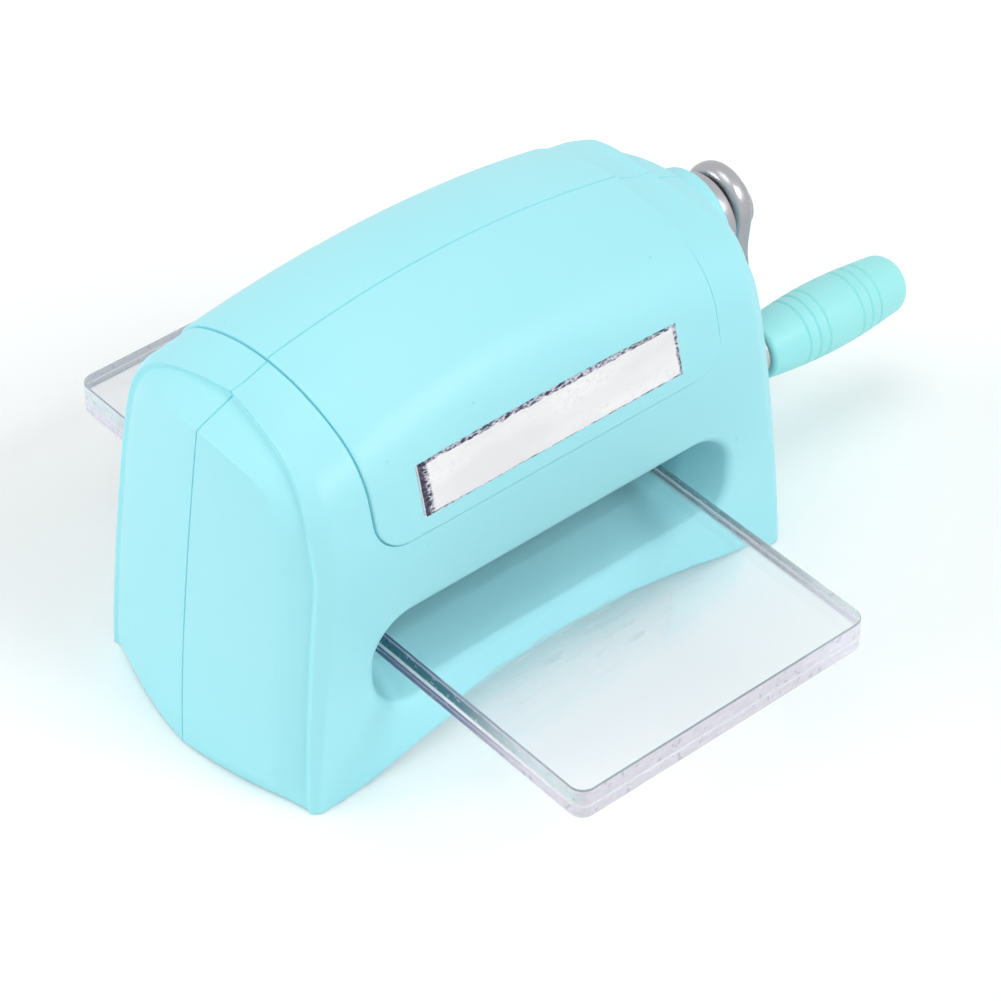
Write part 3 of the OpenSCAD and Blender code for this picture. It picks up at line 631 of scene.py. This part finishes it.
def makeLabel():
    tilt = math.cos(math.radians(casing["tilt"]))
    low = (label["low"] - casing["panelFoot"]) / tilt
    high = (label["high"] - casing["panelFoot"]) / tilt
    half, rise = label["half"], casing["panelRise"]
    piece = sheetOf("label", (-half, low), (half, high), 0, (0.06, 0.1))
    gridCut(piece, np.arange(-half + 0.7, half, 0.7), np.arange(low + 0.4, high, 0.55))

    def borderAt(x, s):
        return min((x + half) / label["left"], (half - x) / label["right"],
                   (high - s) / label["top"], (s - low) / label["bottom"])

    def heightAt(x, s):
        # the film lies flat in the middle and wrinkles towards its edge
        edge = max(0, 1 - borderAt(x, s)) ** 0.5
        fold = (math.sin(x * 2.9 + 1.3 * math.sin(s * 1.7)) * math.sin(s * 2.3 + x * 0.6)
                + 0.6 * math.sin(x * 5.3 - s * 3.1))
        lift = label["thick"] * (0.6 + 0.3 * edge * fold)
        return rise + min(lift, label["thick"])

    wrapped(piece, heightAt, rise - 0.05)
    piece.data.materials.append(paint["foil"])
    smooth(piece, 40)
    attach(piece, "chassis")
    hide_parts("front_label")


crank = dict(
    discX=62.4, discThick=3, discRadius=8.8, armX=66.2, armThick=5, rest=13.5, throw=34.5,
    headShift=-1.1, headRadius=8.2, taper=0.35, neck=9.6, barHalf=4.95, tipRadius=6.5,
    armEdge=2.2, shaftRadius=3)


def armPlace(x, u, v):
    # u runs down the arm from the shaft, v to the front
    s, c = math.sin(math.radians(crank["rest"])), math.cos(math.radians(crank["rest"]))
    return Vector((x, -u * s - v * c, crankZ - u * c + v * s)) * mm


def armOutline():
    # a round head, a waisted bar and a round tip, as (u, v)
    head, r = crank["headShift"], crank["headRadius"]
    lean = math.atan(crank["taper"])
    side = [(head - r * math.cos(a), r * math.sin(a))
            for a in np.linspace(0, math.pi / 2 + lean, 22)]
    bar, tip, far = crank["barHalf"], crank["tipRadius"], crank["throw"]
    turn = math.radians(24)
    joinU = far - tip * math.sin(turn) - (tip * math.cos(turn) - bar) / math.tan(turn)
    straight = [side[-1], (crank["neck"], bar), (joinU, bar)]
    side += [tuple(p) for p in bend(straight, 1, 3, 6)]
    tipStart = (far - tip * math.sin(turn), tip * math.cos(turn))
    side += [tuple(p) for p in bend([(crank["neck"], bar), (joinU, bar), tipStart], 1, 4, 6)]
    side += [(far - tip * math.sin(a), tip * math.cos(a))
             for a in np.linspace(turn, -math.pi / 2, 24)]
    return side + [(u, -v) for u, v in side[-2:0:-1]]


def makeArm():
    outline = armOutline()
    bpy.ops.mesh.primitive_circle_add(vertices=len(outline), radius=mm, fill_type="NGON")
    arm = named("crankArm")
    for vertex, (u, v) in zip(arm.data.vertices, outline):
        vertex.co = armPlace(crank["armX"], u, v)
    edit(arm)
    bpy.ops.mesh.extrude_region_move(
        TRANSFORM_OT_translate={"value": (crank["armThick"] * mm, 0, 0)})
    endEdit()
    facesOut(arm)
    only(arm)
    bpy.ops.object.mode_set(mode="EDIT")
    bpy.ops.mesh.select_mode(type="EDGE")
    mesh = bmesh.from_edit_mesh(arm.data)
    for edge in mesh.edges:
        edge.select = abs(edge.verts[0].co.x - edge.verts[1].co.x) < 1e-7
    bpy.ops.mesh.bevel(offset=crank["armEdge"] * mm, segments=9, affect="EDGES")
    endEdit()
    facesOut(arm)
    cut(arm, rod("shaftHole", (60, 0, crankZ), (75, 0, crankZ), crank["shaftRadius"], 48))
    smooth(arm, 40)
    arm.data.materials.append(paint["chrome"])
    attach(arm, "crank")
    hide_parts("crank_arm")


def makeDisc():
    x, t, r, edge = crank["discX"], crank["discThick"], crank["discRadius"], 0.7
    hole, outer = crank["shaftRadius"], crank["armX"]
    quarter = np.linspace(0, math.pi / 2, 6)
    rim = [(x + edge - edge * math.cos(a), r - edge + edge * math.sin(a)) for a in quarter]
    rim += [(x + t - edge + edge * math.sin(a), r - edge + edge * math.cos(a)) for a in quarter]
    profile = [(x, hole)] + rim + [(x + t, r - 3), (outer, r - 3), (outer, hole)]
    disc = turned("hubDisc", profile, (0, 0, crankZ), (1, 0, 0), 128)
    smooth(disc, 40)
    disc.data.materials.append(paint["chrome"])
    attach(disc, "crank")
    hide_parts("hub_disc")


grip = dict(
    start=(71.2, -8.05387, 26.45324), axis=(0.99961012, -0.00651818, -0.02715016), gap=1.4,
    length=39.2, inner=6.1, tip=6.35, swell=1.2, dome=4.5, edge=1.0,
    bore=30, boreRadius=3.08, clipRoom=(26.5, 28.3, 4.5),
    grooves=(8.9, 11.5, 14.1, 23.5, 26.1, 28.7), grooveHalf=0.42, grooveDepth=0.34)


def makeGrip():
    body, edge, half = grip["length"] - grip["dome"], grip["edge"], grip["grooveHalf"]

    def radius(a):
        return (grip["inner"] + (grip["tip"] - grip["inner"]) * a / body
                + grip["swell"] * math.sin(math.pi * min(1, a / body)))

    def dip(a):
        return sum(max(0, 1 - abs(a - g) / half) ** 1.3 for g in grip["grooves"])

    places = set(np.round(np.linspace(edge, body, 60), 3))
    for g in grip["grooves"]:
        places |= set(np.round(g + half * np.linspace(-1.25, 1.25, 13), 3))
    outer = [(a, radius(a) - grip["grooveDepth"] * dip(a)) for a in sorted(places)]
    start = [(edge - edge * math.cos(t), radius(edge) - edge + edge * math.sin(t))
             for t in np.linspace(0, math.pi / 2, 7)]
    dome = [(body + grip["dome"] * math.sin(t), grip["tip"] * math.cos(t))
            for t in np.linspace(0, math.pi / 2, 16)[1:]]
    bore, r = grip["bore"], grip["boreRadius"]
    near, far, wide = grip["clipRoom"]
    inner = [(bore, 0), (bore, r), (far, r), (far, wide), (near, wide), (near, r), (0, r)]
    profile = [(a + grip["gap"], r) for a, r in start[:-1] + outer + dome + inner]
    piece = turned("grip", profile, grip["start"], grip["axis"], 112)
    smooth(piece, 50)
    piece.data.materials.append(paint["gripPlastic"])
    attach(piece, "hand_grip")
    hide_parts("grip")


plates = dict(width=70, length=149.5, corner=3, x=-2.5, y=-5.8, polish=0.35,
              top=(25.79, 29.75), bottom=(22.75, 25.71),
              scuff=(-14, -52), scuffX=(24, 13), scuffY=(9, 4))


def makePlate(name, node, span):
    low, high = span
    middle = (plates["x"] * mm, plates["y"] * mm, (low + high) / 2 * mm)
    bpy.ops.mesh.primitive_cube_add(size=1, location=middle)
    plate = named(name)
    plate.scale = (plates["width"] * mm, plates["length"] * mm, (high - low) * mm)
    settle(plate)
    for upright, size, steps in ((True, plates["corner"], 10), (False, plates["polish"], 4)):
        only(plate)
        bpy.ops.object.mode_set(mode="EDIT")
        bpy.ops.mesh.select_mode(type="EDGE")
        mesh = bmesh.from_edit_mesh(plate.data)
        for edge in mesh.edges:
            a, b = (v.co for v in edge.verts)
            edge.select = (abs(a.z - b.z) > mm if upright else
                           abs(a.z - b.z) < 1e-7 and edge.calc_face_angle(0) > 1)
        bpy.ops.mesh.bevel(offset=size * mm, segments=steps, affect="EDGES")
        endEdit()
    facesOut(plate)
    smooth(plate, 40)
    for slot in ("clear", "clearRim", "clearEdge"):
        plate.data.materials.append(paint[slot])
    for face in plate.data.polygons:
        slope = abs(face.normal.z)
        face.material_index = 0 if slope > 0.97 else 1 if slope > 0.12 else 2
        if slope > 0.999:
            face.use_smooth = False  # or the broad faces would bend what is seen through them
    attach(plate, "plates")
    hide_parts(node)


class Wire:
    # a socket that can be used in sums; each sum adds a node
    def __init__(self, finish, socket):
        self.finish, self.socket = finish, socket

    def sum(self, operation, *values):
        return self.finish.node("ShaderNodeMath", dict(operation=operation),
                                dict(enumerate(values)))[0]

    def __add__(self, other):
        return self.sum("ADD", self, other)

    def __radd__(self, other):
        return self.sum("ADD", other, self)

    def __sub__(self, other):
        return self.sum("SUBTRACT", self, other)

    def __rsub__(self, other):
        return self.sum("SUBTRACT", other, self)

    def __mul__(self, other):
        return self.sum("MULTIPLY", self, other)

    def __rmul__(self, other):
        return self.sum("MULTIPLY", other, self)

    def __truediv__(self, other):
        return self.sum("DIVIDE", self, other)

    def __abs__(self):
        return self.sum("ABSOLUTE", self)


class Outputs:
    def __init__(self, finish, node):
        self.finish, self.node = finish, node

    def __getitem__(self, key):
        return Wire(self.finish, self.node.outputs[key])


class Finish:
    # a node tree, and the one way to add a node to it
    def __init__(self, name, tree=None):
        if tree is None:
            self.material = bpy.data.materials.new(name)
            self.material.use_nodes = True
            tree = self.material.node_tree
        self.tree = tree
        tree.nodes.clear()

    def node(self, kind, settings=None, inputs=None):
        # settings come first, because they can change which sockets there are
        made = self.tree.nodes.new(kind)
        for key, value in (settings or {}).items():
            if key == "ramp":
                ramp = made.color_ramp
                while len(ramp.elements) > 1:
                    ramp.elements.remove(ramp.elements[-1])
                for i, (at, colour) in enumerate(value):
                    stop = ramp.elements[0] if i == 0 else ramp.elements.new(at)
                    stop.position, stop.color = at, (*colour, 1)
            else:
                setattr(made, key, value)
        for key, value in (inputs or {}).items():
            if isinstance(value, Wire):
                self.tree.links.new(value.socket, made.inputs[key])
            else:
                made.inputs[key].default_value = value
        return Outputs(self, made)

    def place(self, scale=1.0):
        # the piece's own coordinates, in millimetres over the scale
        point = self.node("ShaderNodeTexCoord")["Object"]
        factor = 1000 / scale
        return self.node("ShaderNodeMapping", None, {"Vector": point, "Scale": (factor,) * 3})[0]

    def noise(self, size, detail=2.0, rough=0.5, stretch=None):
        # from 0 to 1; size in millimetres
        point = self.place(size)
        if stretch:
            point = self.node("ShaderNodeMapping", None, {"Vector": point, "Scale": stretch})[0]
        inputs = {"Vector": point, "Scale": 1.0, "Detail": detail, "Roughness": rough}
        return self.node("ShaderNodeTexNoise", None, inputs)["Fac"]

    def band(self, value, low, high):
        return self.node("ShaderNodeMapRange", dict(interpolation_type="SMOOTHSTEP"),
                         {"Value": value, "From Min": low, "From Max": high})[0]

    def blend(self, mask, a, b):
        return self.node("ShaderNodeMix", dict(data_type="RGBA"),
                         {0: mask, 6: a if isinstance(a, Wire) else (*a, 1),
                          7: b if isinstance(b, Wire) else (*b, 1)})[2]

    def apart(self):
        # the piece's own X, Y and Z, in millimetres
        return self.node("ShaderNodeSeparateXYZ", None, {0: self.place()})

    def bump(self, height, distance, strength=1.0):
        return self.node("ShaderNodeBump", None,
                         {"Height": height, "Distance": distance * mm, "Strength": strength})[0]

    def surface(self, **sockets):
        # Base_Color sets the socket Base Color, and so on
        inputs = {key.replace("_", " "): (*value, 1) if isinstance(value, tuple) else value
                  for key, value in sockets.items()}
        return self.node("ShaderNodeBsdfPrincipled", None, inputs)["BSDF"]

    def done(self, shader):
        self.node("ShaderNodeOutputMaterial", None, {"Surface": shader})
        return self.material


def plasticFinish(name, colour, rough, grain=0.02):
    # satin moulded plastic: fine grain, faint flow marks, a few specks
    f = Finish(name)
    flow = f.noise(38, 1.5)
    grains = f.noise(0.35, 2)
    specks = f.band(f.noise(1.6, 0), 0.865, 0.9)
    deep = tuple(c * k for c, k in zip(colour, (0.95, 0.985, 0.99)))
    base = f.blend(f.band(flow, 0.3, 0.7), deep, colour)
    base = f.blend(specks * 0.18, base, tuple(c * 0.55 for c in colour))
    roughness = rough + (grains - 0.5) * 0.08 + (flow - 0.5) * 0.06
    normal = f.bump(grains, grain, 0.35)
    return f.done(f.surface(Base_Color=base, Roughness=roughness, Normal=normal,
                            Specular_IOR_Level=0.42))


def metalFinish(name, colour, rough, streak=(1, 1, 1), grain=0.6, wear=0.0, depth=0.004):
    # bare metal, brushed along the streak, with cloudy and worn spots
    f = Finish(name)
    brushed = f.noise(grain, 3, 0.6, streak)
    cloud = f.noise(9, 2)
    base = f.blend(cloud, tuple(c * 0.9 for c in colour), colour)
    roughness = rough + (brushed - 0.5) * 0.14 + (cloud - 0.5) * 0.08
    if wear:
        worn = f.band(f.noise(2.2, 4), 0.62, 0.72) * wear
        base = f.blend(worn, base, tuple(c * 0.55 for c in colour))
    return f.done(f.surface(Base_Color=base, Roughness=roughness, Metallic=1.0,
                            Normal=f.bump(brushed, depth, 0.5)))


def foilFinish():
    # mirror foil under a clear film: a white field with painted shade along its creases, and
    # crinkled dark and bright reflections painted along its border
    f = Finish("labelFoil")
    point = f.apart()
    wave, crinkle = f.noise(2.6, 3, 0.6), f.noise(1.0, 3, 0.65, (0.45, 1, 1))
    cloud = f.noise(14, 2, 0.5, (0.5, 1, 1.6))
    wobble = wave - 0.5
    half, low, high = label["half"], label["low"], label["high"]
    left, right = label["left"] - half, half - label["right"]
    top, foot = high - label["top"], low + label["bottom"]
    left = f.band(point["X"] + wobble * 1.6, left + 0.5, left - 0.3)
    right = f.band(point["X"] + wobble * 1.2, right, right + 0.4)
    top = f.band(point["Z"] + wobble * 1.3, top, top + 0.35)
    foot = f.band(point["Z"] + wobble * 0.6, foot, foot - 0.2)
    border = 1 - (1 - left) * (1 - right) * (1 - top) * (1 - foot)
    # painted reflections: dark and bright bands in the border, following the crinkles
    paintedReflections = f.node("ShaderNodeValToRGB", dict(ramp=[
        (0.0, (0.02, 0.02, 0.04)), (0.40, (0.05, 0.05, 0.09)), (0.46, (0.34, 0.32, 0.42)),
        (0.49, (0.90, 0.90, 0.96)), (0.53, (0.50, 0.48, 0.58)), (0.58, (0.07, 0.07, 0.12)),
        (0.66, (0.03, 0.03, 0.06)), (0.70, (0.80, 0.80, 0.88))]), {0: crinkle})[0]
    # fold darkens the left border with a painted dark reflection; the next mask paints a highlight
    # along its very edge
    fold = f.band(point["X"] + wobble * 0.9, -half + 1.9, -half + 1.2)
    paintedEdgeHighlight = f.band(point["X"] + wobble * 0.3, -half + 0.45, -half + 0.25)
    paintedReflections = f.blend(fold * 0.85, paintedReflections, (0.03, 0.03, 0.06))
    paintedReflections = f.blend(paintedEdgeHighlight * 0.8, paintedReflections, (0.80, 0.80, 0.86))
    field = f.blend(f.band(cloud, 0.35, 0.7), (0.86, 0.86, 0.87), (0.97, 0.97, 0.975))
    # painted shade: grey lines along the film's creases in the white field
    crease = f.band(wave, 0.485, 0.5) * f.band(wave, 0.515, 0.5) * f.band(cloud, 0.45, 0.6)
    field = f.blend(crease * 0.35, field, (0.5, 0.5, 0.54))
    return f.done(f.surface(Base_Color=f.blend(border, field, paintedReflections), Roughness=0.2 - border * 0.1,
                            Metallic=border * 0.6, Specular_IOR_Level=0.5,
                            Normal=f.bump(crinkle * border + wave * 0.25, 0.12, 0.8)))


def rubberFinish():
    f = Finish("footRubber")
    pores = f.noise(0.5, 3)
    base = f.blend(pores, (0.018, 0.018, 0.02), (0.05, 0.05, 0.052))
    return f.done(f.surface(Base_Color=base, Roughness=0.78 + pores * 0.1,
                            Normal=f.bump(pores, 0.05, 0.6)))


def acrylicFinish():
    # clear sheet with a scuffed patch on the top plate; lamps shine straight through it
    f = Finish("clearAcrylic")
    point = f.apart()
    (x, y), top = plates["scuff"], plates["top"][1]
    rubbed = (f.band(abs(point["X"] - x), *plates["scuffX"])
              * f.band(abs(point["Y"] - y), *plates["scuffY"])
              * f.band(point["Z"], top - 0.25, top - 0.05))
    ripple = f.noise(1.5, 4, 0.65, (0.16, 1.0, 1.0))
    haze = f.noise(7, 3)
    fine = f.noise(0.8, 3, 0.6, (1.0, 0.12, 1.0))
    scratch = f.band(fine, 0.6, 0.75) * f.band(haze, 0.5, 0.7)
    scuff = f.band(ripple, 0.54, 0.62) * rubbed
    roughness = 0.012 + scratch * 0.1 + scuff * 0.4
    glass = f.surface(Base_Color=(0.985, 0.992, 1.0), Roughness=roughness,
                      Transmission_Weight=1.0, IOR=1.49,
                      Normal=f.bump(scratch * 0.2 + haze * 0.06 + ripple * rubbed, 0.06, 0.8))
    bare = f.node("ShaderNodeBsdfTransparent", None, {"Color": (0.985, 0.99, 0.995, 1)})[0]
    lamp = f.node("ShaderNodeLightPath")["Is Shadow Ray"]
    return f.done(f.node("ShaderNodeMixShader", None, {0: lamp, 1: glass, 2: bare})[0])


# painted reflections and shade seen in a plate's cut edge, near its middle beside the casing
# (darker) and at its ends: where the plates meet (a painted highlight), in the bottom plate, along
# the rims and in the top plate; hold is the share that isn't clear
edgeChipsAndReflections = dict(
    rim=dict(middle=(0.13, 0.20, 0.28), end=(0.36, 0.45, 0.50), meet=(0.90, 0.92, 0.96)),
    middle=((0.92, 0.93, 0.98), (0.17, 0.18, 0.32), (0.45, 0.46, 0.62), (0.04, 0.16, 0.22)),
    end=((0.98, 0.98, 1.0), (0.90, 0.84, 0.97), (0.95, 0.93, 1.0), (0.80, 0.93, 0.97)),
    tip=(0.90, 0.87, 0.97), flake=(0.45, 0.46, 0.56), chip=(0.97, 0.97, 1.0),
    hold=dict(clearRim=0.85, clearEdge=0.82))


def cutEdgeFinish(name):
    # a plate's rim or its side: chips, and bands of painted reflection that darken towards the
    # middle, beside the casing
    f = Finish(name)
    point = f.apart()
    reach = abs(point["Y"] - plates["y"])
    # away runs from 0 beside the casing, where the painted reflections are dark, to 1 towards the
    # plate's ends
    away = f.band(reach, 36, 66)
    chips = f.noise(2.4, 3, 0.7, (1, 1, 2.5))
    if name == "clearRim":
        rim = edgeChipsAndReflections["rim"]
        # along the rim: a painted highlight where the plates meet, and painted reflections that
        # darken towards the middle
        tint = f.blend(f.band(point["Z"], 27, 28), rim["meet"],
                       f.blend(away, rim["middle"], rim["end"]))
    else:
        bottom, height = plates["bottom"][0], 7
        level = (point["Z"] + (chips - 0.5) * 0.5 - bottom) / height

        # painted reflections banded by height through the two plates, bright where they meet
        def reflectionBands(meet, lower, rim, upper):
            return f.node("ShaderNodeValToRGB", dict(ramp=[
                (0.0, meet), (0.05, meet), (0.09, lower), (0.18, lower), (0.25, rim),
                (0.31, lower), (0.38, lower), (0.415, meet), (0.50, meet), (0.54, upper),
                (0.84, upper), (0.88, rim), (1.0, rim)]), {0: level})[0]

        ends = f.blend(f.band(reach, 72.5, 74.5), reflectionBands(*edgeChipsAndReflections["end"]), edgeChipsAndReflections["tip"])
        tint = f.blend(away, reflectionBands(*edgeChipsAndReflections["middle"]), ends)
        flakes = f.band(f.noise(1.5, 2, 0.6, (1, 1, 0.6)), 0.6, 0.68)
        tint = f.blend(flakes * 0.45, tint, edgeChipsAndReflections["flake"])
        tint = f.blend(f.band(chips, 0.62, 0.68) * 0.6, tint, edgeChipsAndReflections["chip"])
    solid = f.surface(Base_Color=tint, Roughness=0.06 + chips * 0.1, Specular_IOR_Level=0.5,
                      Normal=f.bump(chips, 0.04, 0.5))
    bare = f.node("ShaderNodeBsdfTransparent", None, {"Color": (0.95, 0.97, 1.0, 1)})[0]
    held = edgeChipsAndReflections["hold"][name] + (chips - 0.5) * 0.3
    return f.done(f.node("ShaderNodeMixShader", None, {0: held, 1: bare, 2: solid})[0])


# name, colour and roughness; then for metals the streak, grain, wear and depth
plastics = dict(
    casing=("casingPlastic", (0.405, 0.865, 0.93), 0.40),
    gripPlastic=("gripPlastic", (0.385, 0.875, 0.875), 0.43))
metals = dict(
    chrome=("crankChrome", (0.45, 0.455, 0.48), 0.28, (1, 1, 1), 1.3, 0, 0.01),
    steel=("frameSteel", (0.52, 0.53, 0.55), 0.36, (1, 12, 1), 0.5, 0.5),
    roller=("rollerSteel", (0.60, 0.61, 0.63), 0.24, (0.1, 6, 6), 0.4, 0.2),
    screw=("screwSteel", (0.55, 0.55, 0.57), 0.3, (1, 1, 1), 0.4, 0.3),
    bronze=("bushBronze", (0.55, 0.40, 0.19), 0.38, (1, 1, 1), 0.5, 0.4))


def makeFinishes():
    made = {key: plasticFinish(*values) for key, values in plastics.items()}
    made.update({key: metalFinish(*values) for key, values in metals.items()})
    made.update(rubber=rubberFinish(), foil=foilFinish(), clear=acrylicFinish(),
                clearRim=cutEdgeFinish("clearRim"), clearEdge=cutEdgeFinish("clearEdge"))
    return made


# the finish of each piece that keeps its shape
nodePaint = dict(
    left_frame="steel", right_frame="steel", tie_rods="steel", frame_screws="screw",
    foot_screws="screw", shell_screws="screw", rubber_feet="rubber", roller_bushes="bronze",
    crank_bushes="bronze", upper_roller="roller", roller_gear="bronze", roller_gear_pin="screw",
    upper_roller_clip="screw", lower_roller="roller", lower_roller_clips="screw",
    crank_shaft="roller", drive_pinion="bronze", drive_pinion_pin="screw", crank_clip="screw",
    arm_washer="chrome", arm_screw="screw", grip_pin="roller", grip_clip="screw")


# distances and lamp sizes are in metres here; a lamp has a name, a direction, a size and its
# share of the light
studio = dict(
    floorSize=8, glow=(0.075, 0.075, 0.07), sky=0.58, lampDistance=5.0,
    lamps=(("top", (-0.12, 0.05, 1), 3.4, 0.18), ("side", (-0.85, 0.5, 0.4), 2.0, 0.30),
           ("front", (0.3, -0.76, 0.7), 2.4, 0.34)),
    lens=138.24, sensor=36, camera=(-0.3522, -0.4275, 0.5111), azimuth=-40.49, elevation=41.40)


def makeStage():
    bpy.ops.mesh.primitive_plane_add(size=studio["floorSize"])
    floor = named("floor")
    f = Finish("floorPaper")
    base = f.blend(f.noise(300, 1), (0.955, 0.972, 0.97), (0.965, 0.98, 0.978))
    seen = f.node("ShaderNodeLightPath")["Is Camera Ray"]
    floor.data.materials.append(f.done(f.surface(
        Base_Color=base, Roughness=0.9, Specular_IOR_Level=0.05, Emission_Strength=1.0,
        Emission_Color=f.blend(seen, (0, 0, 0), studio["glow"]))))

    world = bpy.data.worlds.new("studio")
    bpy.context.scene.world = world
    world.use_nodes = True
    f = Finish("studio", world.node_tree)
    around = f.node("ShaderNodeTexCoord")["Generated"]
    up = f.node("ShaderNodeSeparateXYZ", None, {0: around})["Z"]
    sky = f.node("ShaderNodeValToRGB", dict(ramp=[
        (0.0, (0.55, 0.57, 0.6)), (0.5, (0.6, 0.62, 0.64)), (0.62, (0.82, 0.83, 0.85)),
        (1.0, (1, 1, 1))]), {0: up * 0.5 + 0.5})[0]
    path = f.node("ShaderNodeLightPath")
    light = f.node("ShaderNodeBackground", None, {"Color": sky, "Strength": studio["sky"]})[0]
    white = f.node("ShaderNodeBackground", None, {"Color": (1, 1, 1, 1), "Strength": 1.0})[0]
    # the world is plain white to the camera, in metal and through the plates
    rest = [1 - path["Is %s Ray" % kind] for kind in ("Camera", "Glossy", "Transmission")]
    share = 1 - rest[0] * rest[1] * rest[2]
    mix = f.node("ShaderNodeMixShader", None, {0: share, 1: light, 2: white})[0]
    f.node("ShaderNodeOutputWorld", None, {"Surface": mix})

    far = studio["lampDistance"]  # well away, so that the floor is evenly lit
    for name, towards, size, share in studio["lamps"]:
        lamp = bpy.data.objects.new(name, bpy.data.lights.new(name, "AREA"))
        bpy.context.scene.collection.objects.link(lamp)
        lamp.data.shape = "DISK"
        lamp.data.size = size
        lamp.data.energy = share * (math.pi * far) ** 2
        lamp.location = Vector(towards).normalized() * far
        lamp.rotation_euler = Vector(towards).to_track_quat("Z", "Y").to_euler()

    camera = bpy.data.objects.new("camera", bpy.data.cameras.new("camera"))
    bpy.context.scene.collection.objects.link(camera)
    camera.data.lens = studio["lens"]
    camera.data.sensor_width = studio["sensor"]
    camera.data.clip_start, camera.data.clip_end = 0.02, 20
    camera.location = studio["camera"]
    azimuth, elevation = math.radians(studio["azimuth"]), math.radians(studio["elevation"])
    back = Vector((math.sin(azimuth) * math.cos(elevation),
                   -math.cos(azimuth) * math.cos(elevation), math.sin(elevation)))
    camera.rotation_euler = back.to_track_quat("Z", "Y").to_euler()
    bpy.context.scene.camera = camera
    bpy.context.scene.view_settings.view_transform = "Standard"


paint = makeFinishes()
print("finishes ready")
for node, finish in nodePaint.items():
    slots = nodes[node].data.materials
    if not slots:
        slots.append(paint[finish])
    for i in range(len(slots)):
        slots[i] = paint[finish]
front, rear = makeCasing()
print("casing ready", len(front.data.polygons), len(rear.data.polygons))
makeLabel()
print("label ready")
makeDisc()
makeArm()
makeGrip()
print("crank ready")
makePlate("plate.top", "top_plate", plates["top"])
makePlate("plate.bottom", "bottom_plate", plates["bottom"])
print("plates ready")
makeStage()
